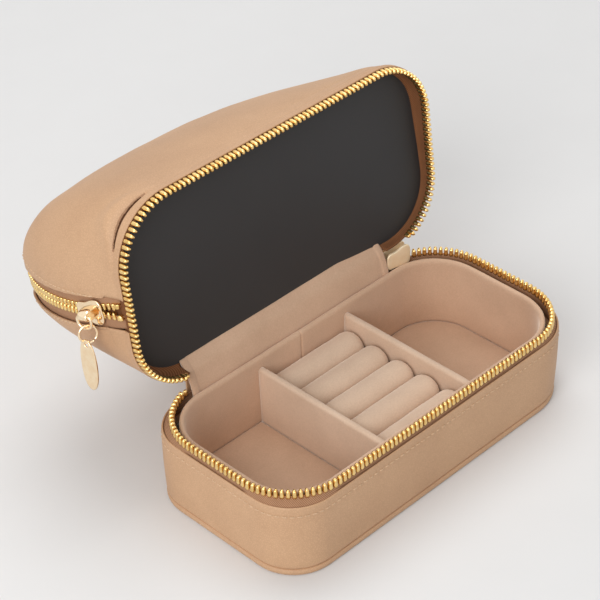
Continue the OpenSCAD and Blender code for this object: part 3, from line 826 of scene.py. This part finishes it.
def make_roll(number):
    """Foam ring roll in velvet, rounded at its ends."""
    node = f"ring_roll_{number}"
    low, high = node_box(node)
    middle = (low + high) / 2
    half, r, end_r = (high[0] - low[0]) / 2, (high[2] - low[2]) / 2 + 0.1, 5.2
    ends = np.radians(np.linspace(8, 90, 10))
    stations = [(-half + end_r - end_r * cos(a), r - end_r + end_r * sin(a)) for a in ends]
    stations += [(x, r) for x in np.linspace(-half + end_r, half - end_r, 22)[1:-1]]
    stations += [(-x, rr) for x, rr in stations[9::-1]]
    turn = np.linspace(0, 2 * pi, 44, endpoint=False)
    loops = []
    for x, rr in stations:
        full = rr * (1 + 0.015 * cos(pi * x / (2 * half)))
        y = np.clip(full * np.cos(turn), -7.62, 7.62)
        loops.append(np.column_stack([np.full(44, x), y, full * np.sin(turn)]) + middle)
    loops = np.array(loops)
    loops += unit((loops - middle) * [0, 1, 1]) * ripple(loops, 9, 0.16, number * 4.0)[..., None]
    # The roll takes the velvet copy with painted light
    roll = loft(f"velvet_roll_{number}", loops, LIT_VELVET_COPY, "box", node)


def make_bed():
    low, high = node_box("ring_roll_bed")
    rings = [(0.0, low[2] + 0.1), (0.0, high[2] - 1.2), (0.35, high[2] - 0.35), (1.2, high[2])]
    loops = []
    for inset, z in rings:
        x, y = high[0] - inset, high[1] - inset
        edge_x, edge_y = np.linspace(-x, x, 14)[:-1], np.linspace(-y, y, 20)[:-1]
        loop = [(a, -y, z) for a in edge_x] + [(x, b, z) for b in edge_y]
        loops.append(loop + [(-a, -b, z) for a, b, z in loop])
    loft("roll_bed", loops, VELVET, "box", "ring_roll_bed")


# Hinge


def strip_between(profile):
    """Face, rear and length of a strip along X with a smooth section."""
    profile = np.array(profile, float)
    run = run_of(profile)
    section = points_at(np.linspace(0, run[-1], 30), run, profile)
    for _ in range(3):
        section[1:-1] = (section[:-2] + 2 * section[1:-1] + section[2:]) / 4
    ahead = unit(np.gradient(section, axis=0))
    rear = section + np.column_stack([ahead[:, 1], -ahead[:, 0]]) * STRIP_T
    end = np.array([0.0, 0.15, 0.5, 1.0, 2.0, 2.7, 3.1, 3.5, 4.0, 5.0])
    middle = np.linspace(HINGE_LEFT + 7, HINGE_RIGHT - 7, 44)
    columns = np.r_[HINGE_LEFT + end, middle, HINGE_RIGHT - end[::-1]]
    sheets = [np.array([[(x, y, z) for y, z in line] for x in columns]) for line in (section, rear)]
    return *sheets, run[-1]


def hinge_strip(strip, start, end, nodes):
    """Bake a strip's place into its mesh and hide the parts it replaces."""
    start, end = ((0, y * MM, z * MM) for y, z in (start, end))
    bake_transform(strip)
    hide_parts(*nodes)


def make_hinge():
    """Velvet from the liner to the dark panel, and the spine behind it."""
    y0 = HALF_D - LINER_OUT + 0.25
    fold, tuck = lid_turn([[0, HALF_D - LINER_OUT + y, LID_Z + PANEL_Z - 0.1] for y in (0.7, -0.9)])[:, 1:]
    profile = [(y0, 29.0), (y0, 36.0), (41.2, 39.5), (42.3, 43.0), (43.5, 46.3), (44.7, 48.6)]
    profile += [(fold[0] - 1.6, fold[1] - 0.9), tuck]
    face, rear, length = strip_between(profile)
    from_end = np.minimum(face[..., 0] - HINGE_LEFT, HINGE_RIGHT - face[..., 0])
    hem = 0.45 * np.clip((4.0 - from_end) / 1.0, 0, 1) - 0.3 * bell(from_end, 3.5, 0.5)
    face[..., 1] += ripple(face, 15, 0.25, 2.0) - hem * np.clip(from_end / 0.3, 0.3, 1)
    hinge_strip(thick_sheet("hinge_velvet", face, rear, VELVET),
                (y0, WALL_H + 3.0), (fold[0], fold[1] - 1.0),
                ["hinge_lining", "lid_hinge_lining"])
    spine = [(-0.95, 32.5), (-0.95, 35.6), (-0.1, 37.0), (0, 41.0), (-0.05, 45.2)]
    spine += [(-0.1, 46.4), (0.5, 46.95), (2.0, 46.9)]
    face, rear, length = strip_between([(HALF_D + y, z) for y, z in spine])
    face[..., 1] += ripple(face, 18, 0.15, 9.0)
    hinge_strip(thick_sheet("hinge_leather", face, rear, LEATHER),
                (HALF_D, WALL_H + 4.0), (HALF_D, LID_Z - 0.4),
                ["hinge_spine"])


# Lid


def draw_out(p, out, inset, z):
    """The lid tape's turned-in edge narrows at the back right."""
    return 0.7 * max(inset - TAPE_IN - TAPE_T, 0.0) * back_right(p)


def make_lid_zip():
    """Tape from the teeth over the dark panel's edge."""
    section = [(TAPE_IN, 1.5), (TAPE_IN, -1.0), (TAPE_IN, -TAPE_RISE), (TAPE_IN + TAPE_T, -TAPE_RISE)]
    section += [(TAPE_IN + TAPE_T, -1.6), (TAPE_IN + TAPE_T + 0.1, 0.0), (2.2, 1.2), (2.5, 2.2), (3.0, 3.0)]
    section += [(3.6, 3.38), (4.2, 3.42), (4.35, 3.5), (4.2, 3.6), (3.4, 3.6), (2.6, 3.4), (1.9, 2.6)]
    loops = chain_strip([(inset, LID_Z + h) for inset, h in section], -0.1, draw_out)
    loops[..., 2] -= forward(loops) * np.clip((loops[..., 2] - LID_Z) / 3, 0, 1)
    loops[:, 5:10, :2] *= 1 + ripple(loops[:, 5:10], 11, 0.0025, 6.0)[..., None]
    loft("lid_tape_band", loops, LID_TAPE, "lid", "lid_zip_tape")
    make_rim_teeth("lid", 0.0, LID_Z - TOOTH_FOOT, -1)


def make_dark_lid_panel():
    """Slightly crowned dark panel with a rounded edge."""
    rings = [(PANEL_IN + 0.5, 4.5), (PANEL_IN, 4.3), (PANEL_IN, 3.9), (PANEL_IN + 0.3, 3.6)]
    rings += [(PANEL_IN + 0.9, 3.5), (8.0, 3.47), (14.0, 3.45), (20.0, 3.43), (26.0, 3.42)]
    loops, wider = (rim_loops([(inset - grow, LID_Z + h) for inset, h in rings], RIM_R) for grow in (0, 1.4))
    loops += (wider - loops) * back_right(loops)[..., None]
    loops[..., 2] -= forward(loops)
    loft("dark_panel", loops, DARK, "lid", "lid_dark_panel")


# Pouch


def skirt_height(p):
    """Lower edge of the lid's leather, clear of the hinge and the parked slider."""
    parked = chain_point(chain_reach(SLIDER_ANGLE))[0]
    share = np.clip((13 - np.linalg.norm(p[:2] - parked)) / 4, 0, 1)
    if p[1] > HALF_D - 2:
        share = max(share, np.clip((min(p[0] - HINGE_LEFT, HINGE_RIGHT - p[0]) + 5) / 4, 0, 1))
    return SKIRT_LOW + (SKIRT_HINGE - SKIRT_LOW) * share


def corner_run(rim):
    """Length along the lid's rim from the left end's middle to the front."""
    x, y = rim[..., 0] + FLAT_X, rim[..., 1] + FLAT_Y
    turn = np.clip(np.arctan2(-y, -x), 0, pi / 2)
    return FLAT_Y + RIM_R * turn + np.clip(x, 0, None) - np.clip(y, 0, None)


def fold_height(rim):
    """Height of the crease at the lid's front left corner."""
    return 0.5 + 2.3 * bell(corner_run(rim), FOLD_RUN, CREASE_SPREAD)


def band_heights(side, rim):
    """Heights of the rows along the rim, close together at the crease."""
    low = skirt_height(rim)
    if side > 0:
        return np.linspace(BAND_H, low, 46)
    crease = fold_height(rim)
    near = crease + np.linspace(3.0, -1.1, 30)
    return np.r_[np.linspace(BAND_H, crease + 3.2, 8), near, np.linspace(crease - 1.25, low, 8)]


def panel_sheet(side):
    """Outer face of a panel from its zip edge to its tucked rim, closed."""
    edge, across = side * ZIP_EDGE[side], zip_way(0, float(side), 0)
    arch = pouch_arch(0, (BAND_H + edge * sin(ZIP_LEAN)) / cos(ZIP_LEAN))
    foot_x, foot_h = arch[0]
    y_edge = on_zip(0, edge, foot_h)[1]
    rim_line = rim_arch(HALF_D - side * y_edge)
    zip_l, rim_l = arch_length(arch), arch_length(rim_line)
    left, mid, right = FULLNESS[side]
    sheet = []
    for share in np.linspace(0.003, 0.997, PANEL_COLUMNS):
        (x, h), out = on_arch(share * zip_l, arch)
        (rim_x, rim_y), rim_out = on_arch(share * rim_l, rim_line)
        flare = (foot_x - HALF_W) * max(0.0, 1 - min(share, 1 - share) * rim_l / FLARE_L) ** 2
        top, rim = on_zip(x, edge, h), np.array([rim_x, y_edge + side * rim_y, LID_Z])
        top_out, away = zip_way(out[0], 0, out[1]), np.array([rim_out[0], side * rim_out[1], 0.0])
        curl = 2.6 * np.clip(rim[0] / 60, 0, 1) if side < 0 else 0.0
        lean = away * (flare - curl)
        foot = rim + lean + [0, 0, BAND_H]
        x = top[0] / POUCH_HALF
        full = mid + (right - left) / 2 * x + ((right + left) / 2 - mid) * x * x
        pull = np.linalg.norm(foot - top) * full
        shoulder = top + across * SHOULDER * pull
        hip = foot + [0, 0, (1 - SHOULDER) * pull]
        column = [top + across * inwards - top_out * deep for inwards, deep in HEM]
        for t in BOW_SHARES:
            ends, bows = (1 - t) ** 3 * top + t ** 3 * foot, (1 - t) * shoulder + t * hip
            column.append(ends + 3 * t * (1 - t) * bows)
        for h in band_heights(side, rim):
            column.append(rim + lean * max(0.0, (h - 0.5) / (BAND_H - 0.5)) + [0, 0, h])
        low = column[-1]
        for inwards, up in ((0.3, -0.12), (0.65, -0.05), (0.85, 0.3)):
            column.append(low - away * inwards + [0, 0, up])
        sheet.append(column)
    return np.array(sheet)


def shape_panel(sheet, side):
    """The fold, the dent along the stitches, the unevenness of soft leather, and the faces that take painted
    shade in the fold's crease.
    """
    normals = unit(np.cross(np.gradient(sheet, axis=0), np.gradient(sheet, axis=1)))
    if normals[len(sheet) // 2, 20] @ [0, side, 1.0] < 0:
        normals = -normals
    run = np.array([run_of(column) for column in sheet]) - 1.6
    height = sheet[..., 2] - LID_Z
    free = np.clip(run / 6, 0, 1) * np.clip((run[:, -1:] - run) / 9, 0, 1)
    dent = -0.22 * bell(run, 3.0, 0.8)
    groove = -0.22 * bell(height, 1.6, 0.9) * np.clip((run - 8) / 12, 0, 1)
    rim = sheet[:, -4]
    depth = bell(corner_run(rim), FOLD_RUN, FOLD_SPREAD)[:, None] * (1.0 if side < 0 else 0.0)
    above = (height - fold_height(rim)[:, None]) / (0.4 + 0.9 * depth)
    fold = depth * np.interp(above, FOLD_AT, FOLD_OUT)
    soft = ripple(sheet, 34, 0.5, 20.0 + side) + ripple(sheet, 13, 0.2, 40.0 + side)
    s = np.arange(len(sheet))[:, None] * 1.55
    wave = np.sin(s * 2 * pi / 7.5 + 3 * np.sin(s / 23))
    pucker = 0.14 * wave * np.exp(-np.clip(run - 2, 0, None) / 5) * np.clip(run / 2, 0, 1)
    move = dent + groove + fold + soft * free + pucker
    thick = LEATHER_T - 0.55 * depth * bell(above, 0, 0.8)
    # Painted shade: the crease's walls get a dark painted shadow where the slit's shade falls, and a mid
    # brown painted shade beside it
    dark = (depth > 0.32) & (above > -0.62) & (above < 1.25)
    shade = (depth > 0.22) & (above > -0.62) & (above < 1.7)
    return sheet + normals * move[..., None], normals, thick, dark * 1 + shade


def make_panel(side, name):
    sheet, normals, thick, painted_shade_tones = shape_panel(panel_sheet(side), side)
    rear = sheet - normals * thick[..., None]
    panel = thick_sheet(f"pouch_{name}_leather", sheet, rear, LEATHER, "lid", f"pouch_{name}_panel")
    # Faces in the crease take the painted soft shade and painted shadow materials
    panel.data.materials.append(CREASE_SHADE)
    panel.data.materials.append(CREASE_PAINTED_SHADOW)
    tone = np.minimum(painted_shade_tones[:-1, :-1], painted_shade_tones[1:, 1:]).ravel()
    for face in np.flatnonzero(tone):
        panel.data.polygons[int(face)].material_index = int(tone[face])
    first = len(HEM) + 3
    row = max(first, 3 + int(np.searchsorted(run_of(sheet[PANEL_COLUMNS // 2, 3:]), 2.6)))
    stitch_row(f"pouch_{name}_stitching", sheet[3:-3, row], normals[3:-3, row], "lid")
    rows = slice(first, len(HEM) + len(BOW_SHARES) - 1)
    outer, inner = ((sheet - normals * deep)[2:-2, rows] for deep in LINING_FACES)
    thick_sheet(f"pouch_{name}_cloth", outer, inner, LINING, "lid", f"pouch_{name}_lining")


def zip_spread(x, h):
    """Half the opening of the pouch's teeth below the slider."""
    if x > 0:
        return 0.0
    return 0.9 * np.clip((POUCH_SLIDER_H - h) / 9.0, 0, 1) ** 1.2


def pouch_tooth_place(s, side):
    (x, h), out = on_arch(s, ZIP_ARCH)
    normal, inward = zip_way(out[0], 0, out[1]), zip_way(0, -float(side), 0)
    foot = on_zip(x, CHAIN_SHIFT + side * (2.9 + zip_spread(x, h)), h)
    lift = normal * 0.9 * np.clip((5 - h) / 3, 0, 1)
    return foot + lift, [np.cross(normal, inward), normal, inward]


def make_pouch_tape(side, name, *nodes):
    """Half of the pouch's tape, to under the panel's edge."""
    sheets = ([], [])
    for s in np.linspace(0, arch_length(ZIP_ARCH), 260):
        (x, h), out = on_arch(s, ZIP_ARCH)
        ys = np.linspace(CHAIN_SHIFT + side * (1.3 + zip_spread(x, h)), side * (ZIP_EDGE[side] + 1), 7)
        for sheet, lift in zip(sheets, (TAPE_T / 2, -TAPE_T / 2)):
            lifts = np.linspace(lift, lift - 0.35, 7)
            sheet.append([on_zip(x + out[0] * l, y, h + out[1] * l) for y, l in zip(ys, lifts)])
    thick_sheet(name, np.array(sheets[0]), np.array(sheets[1]), TAPE, "lid", *nodes)


def make_pouch_zip():
    make_pouch_tape(-1, "pouch_tape_front")
    make_pouch_tape(1, "pouch_tape_back", "pouch_zip_tapes")
    total = arch_length(ZIP_ARCH)
    count = int((total - 7.5) / PITCH)
    for side, name, shift in ((-1, "front", 0.0), (1, "back", 0.5)):
        places = [pouch_tooth_place(3.3 + (k + shift) * PITCH, side) for k in range(count + 1)]
        brass_row(f"pouch_teeth_{name}", FINE_TOOTH, places, "lid", f"pouch_zip_teeth_{name}")
    places = [pouch_tooth_place(s, side) for s in (1.3, total - 1.3) for side in (-1, 1)]
    brass_row("pouch_stops", FINE_STOP, places, "lid", "pouch_zip_stops")


def make_end_cloth():
    """Tape end that closes the pouch behind its open zip."""
    arch = pouch_arch(3.4, POUCH_TAPE_START)
    places = [on_arch(s, arch)[0] for s in np.linspace(0, 17, 14)]
    face = np.array([[on_zip(x, y, h) for y in np.linspace(-8.5, 8.5, 9)] for x, h in places])
    thick_sheet("pouch_end_tape", face, face + [0.5, 0, 0], LID_TAPE, "lid")


# Sliders and pulls


def plate(mouth, y0, y1, crown):
    """A slider plate with lips: a wide mouth, a waist and a tail."""
    half = [(-6.75, 1.9), (-6.6, 2.9), (-6.0, 3.8), (-4.9, 4.25), (-3.0, 4.2), (-1.4, 4.35), (0.2, 4.95)]
    half += [(1.7, 5.5), (3.2, 5.7), (4.7, 5.55), (5.8, 4.8), (6.5, 3.5), (6.75, 1.9)]
    outline = np.array(half + [(x, -z) for x, z in half[::-1]]) * [mouth, 1]
    t = y1 - y0
    lip = y0 - 0.6 * t * np.clip((np.abs(outline[:, 1]) - 3.6) / 0.6, 0, 1)
    rings = []
    for share, y in ((0.88, y0), (0.92, lip), (0.985, lip), (1.0, lip + 0.15 * t), (1.0, y0 + 0.6 * t),
                     (0.975, y1 - 0.1 * t), (0.92, y1), (0.55, y1 + crown)):
        x, z = (outline * share).T
        rings.append(np.column_stack([x, np.broadcast_to(y, len(x)), z]))
    return np.concatenate(rings), loft_faces(len(rings), len(outline))


def post_body(x, z, y0, y1):
    """The eased post between the plates."""
    points = []
    for y, inset in ((y0, POST_EASE), (y0 + POST_EASE, 0), (y1 - POST_EASE, 0), (y1, POST_EASE)):
        a, b = POST_HALF_X - inset, POST_HALF_Z - inset
        loop = [(a, POST_EASE - b), (a, b - POST_EASE), (a - POST_EASE, b), (POST_EASE - a, b)]
        points += [(x + sign * p, y, z + sign * q) for sign in (1, -1) for p, q in loop]
    return np.array(points), loft_faces(4, 8)


def crown_body():
    """The slider's arched bridge over the bail."""
    foot, inside = CHANNEL + PLATE_T - 0.15, BAIL_Y + BAIL_WIRE + PIN_FIT
    arch = [(cos(a), sin(a) ** 0.7) for a in np.linspace(0, pi, 21)]
    half = BAIL_W / 2 - 3 * BAIL_WIRE
    loops = []
    for x, ease in ((-half, 0.25), (-half + 0.3, 0.0), (0.0, 0.0), (half - 0.3, 0.0), (half, 0.25)):
        outer, inner = ([(x, foot + (top - foot) * up, reach * across) for across, up in arch]
                        for reach, top in ((2.5 - ease, inside + 0.6 - ease), (1.7, inside)))
        loops.append(outer + inner[::-1])
    return np.array(loops).reshape(-1, 3), loft_faces(5, 42)


def slider_body(mouth, post_z):
    """Two plates, a post beside the teeth and a bridge."""
    inner_y = -CHANNEL - ARC_ROOM
    return merge([
        plate(mouth, CHANNEL, CHANNEL + PLATE_T, 0.12),
        plate(mouth, inner_y, inner_y - PLATE_T, -0.12),
        post_body(mouth * SLIDER_L / 4, post_z, inner_y - 0.2, CHANNEL + 0.2),
        crown_body(),
    ])


def bail_body():
    half = BAIL_W / 2 - BAIL_WIRE
    path = []
    for sx, r, cz, start in ((1, 1.2, -1.2, 0), (-1, 1.2, -1.2, 90),
                             (-1, 3.1, 3.1 - BAIL_DROP, 180), (1, 3.1, 3.1 - BAIL_DROP, 270)):
        for a in np.radians(start + np.linspace(0, 90, 9)):
            path.append((sx * (half - r) + r * cos(a), BAIL_Y, cz + r * sin(a)))
    return tube(path, BAIL_WIRE, closed=True)


def ring_body(twist):
    """Jump ring with a fine split."""
    turn = np.radians(np.linspace(-176, 176, 72) + 60)
    path = np.array([(0.0, RING_R * cos(a), RING_Z + RING_R * sin(a)) for a in turn])
    turn_about(path, 0, 1, twist)
    return tube(path + [0, BAIL_Y, 0], RING_WIRE)


def tab_reach(angle):
    """Distance from the tab's eye to its oval outline."""
    low, high = 0.0, TAB_L
    for _ in range(40):
        r = (low + high) / 2
        x, z = r * cos(angle), r * sin(angle) + TAB_L / 2 - EYE_IN
        inside = abs(2 * x / TAB_W) ** TAB_OVAL + abs(2 * z / TAB_L) ** TAB_OVAL < 1
        low, high = (r, high) if inside else (low, r)
    return low


def turn_about(points, first, second, angle):
    """Turn points from one axis towards another."""
    c, s = cos(angle), sin(angle)
    a, b = points[..., first].copy(), points[..., second].copy()
    points[..., first], points[..., second] = a * c - b * s, a * s + b * c


def tab_body(slip, tilt, twist):
    """Hammered leaf-shaped tab with an eye."""
    rng = np.random.default_rng(5)
    dent_x, dent_z = rng.uniform(-5, 5, 90), rng.uniform(-22, 2, 90)
    dent_deep, dent_r = rng.uniform(0.1, 0.24, 90), rng.uniform(0.9, 1.7, 90)
    turn = np.linspace(0, 2 * pi, 180, endpoint=False)
    reach = np.array([tab_reach(a) - EYE_R for a in turn])
    share = np.r_[0, 0.02, 0.06, np.linspace(0.12, 0.9, 16), 0.95, 0.985, 1.0][:, None]
    x, z = (EYE_R + reach * share) * np.cos(turn), (EYE_R + reach * share) * np.sin(turn)
    ease = np.minimum(1.0, np.minimum((1 - share) * reach / 0.7, share * reach / 0.5))
    near = np.exp(-((dent_x - x[..., None]) ** 2 + (dent_z - z[..., None]) ** 2) / dent_r ** 2)
    depth = TAB_T / 2 * (0.35 + 0.65 * np.sqrt(np.maximum(ease, 0)))
    depth -= ease * np.minimum((near * dent_deep).max(-1), 0.3)
    bend = 0.5 * (z / TAB_L) ** 2 - 0.03 * x * x / TAB_W
    front, rear = (np.stack([x, side * depth + bend, z], -1) for side in (1, -1))
    points = np.concatenate([front, rear[::-1]])
    turn_about(points, 0, 1, twist)
    turn_about(points, 2, 0, tilt)
    points += [-slip * sin(twist), BAIL_Y + slip * cos(twist), EYE_Z]
    return points.reshape(-1, 3), loft_faces(len(points), len(turn), ring=True)


def make_pull(prefix, mouth, metal, ring_twist, slip, tilt, twist):
    """A slider, bail, ring and tab, each on its own body."""
    bail, tab = joint(f"{prefix}_bail_swing"), joint(f"{prefix}_tab_swing")
    along, out = np.array(bail["axis"]), np.array(tab["axis"])
    place = np.array(bail["pos_m"]) / MM - out * BAIL_Y, [along, out, np.cross(along, out)]
    parts = (
        ("slider", "slider_body", slider_body(mouth, POST_Z[prefix]), metal),
        ("bail", "bail_wire", bail_body(), GOLD),
        ("ring", "jump_ring", ring_body(ring_twist), GOLD),
        ("tab", "leaf_tab", tab_body(slip, tilt, twist), GOLD),
    )
    for part, name, (points, faces), material in parts:
        node = f"{prefix}_{part}"
        obj = piece(f"{prefix}_{name}", at(place, points), faces, material, node, node)
        if part == "slider":
            obj.data.set_sharp_from_angle(angle=radians(50))


# Stage


def make_stage():
    size = 6000.0
    corners = [(-size, -size, -0.2), (size, -size, -0.2), (size, size, -0.2), (-size, size, -0.2)]
    piece("floor", corners, [(0, 1, 2, 3)], FLOOR)
    make_world()
    add_area("key", (-1.15, -0.45, 0.85), 1.0, 12.0)
    add_area("top", (0.4, 0.5, 1.55), 1.2, 10.0)


def make_world():
    """Even light, and a pale studio for reflections."""
    world = bpy.data.worlds.new("studio")
    bpy.context.scene.world = world
    world.use_nodes = True
    tree = world.node_tree
    light = tree.nodes["Background"]
    feed(tree, light, (1.0, 0.99, 0.98, 1), 0.5)
    shown = add_node(tree, "ShaderNodeBackground", Color=(1.0, 0.99, 0.98, 1), Strength=1.0)
    path = add_node(tree, "ShaderNodeLightPath").outputs
    seen = math_node(tree, "MAXIMUM", path["Is Camera Ray"], path["Is Glossy Ray"])
    seen = math_node(tree, "MAXIMUM", seen, path["Is Transmission Ray"])
    mix = add_node(tree, "ShaderNodeMixShader")
    feed(tree, mix, seen, light.outputs[0], shown.outputs[0])
    plug(tree, tree.nodes["World Output"].inputs["Surface"], mix.outputs[0])


def add_area(name, place, size, power):
    light = bpy.data.lights.new(name, "AREA")
    light.shape = "DISK"
    light.size = size
    light.energy = power
    obj = bpy.data.objects.new(name, light)
    bpy.context.scene.collection.objects.link(obj)
    obj.location = place
    obj.rotation_mode = "QUATERNION"
    obj.rotation_quaternion = (Vector((0, 0, 0.04)) - Vector(place)).to_track_quat("-Z", "Y")


def make_camera():
    ce, se = cos(CAM_ELEVATION), sin(CAM_ELEVATION)
    ca, sa = cos(CAM_AZIMUTH), sin(CAM_AZIMUTH)
    back = np.array([sa * ce, -ca * ce, se])
    right = np.array([ca, sa, 0.0])
    up = np.cross(back, right)
    cr, sr = cos(CAM_ROLL), sin(CAM_ROLL)
    right, up = cr * right + sr * up, -sr * right + cr * up
    eye = (CAM_TARGET + back * CAM_DISTANCE + right * CAM_SIDE + up * CAM_LIFT) * MM
    camera = bpy.data.objects.new("camera", bpy.data.cameras.new("camera"))
    camera.data.lens = CAM_LENS
    camera.data.sensor_width = 36.0
    camera.data.clip_start = 0.01
    columns = np.column_stack([right, up, back, eye])
    camera.matrix_world = Matrix(np.vstack([columns, [0, 0, 0, 1]]).tolist())
    bpy.context.scene.collection.objects.link(camera)
    bpy.context.scene.camera = camera


make_camera()
make_box_wall()
make_base()
make_box_zip()
make_liner()
make_floor(-1, "left")
make_floor(1, "right")
make_divider("left")
make_divider("right")
make_bed()
for roll_number in range(1, 6):
    make_roll(roll_number)
make_hinge()
make_lid_zip()
make_dark_lid_panel()
make_panel(-1, "front")
make_panel(1, "back")
make_pouch_zip()
make_end_cloth()
make_pull("main", 1, SATIN_GOLD, 0.0, 0.0, 0.0, 0.0)
hang = pi / 2 - LID_OPEN - ZIP_LEAN + radians(5.5)
make_pull("pouch", -1, GOLD, radians(-35), 2.2, hang, radians(-9))
make_boards()
make_stage()

bpy.context.scene.view_settings.view_transform = "Standard"
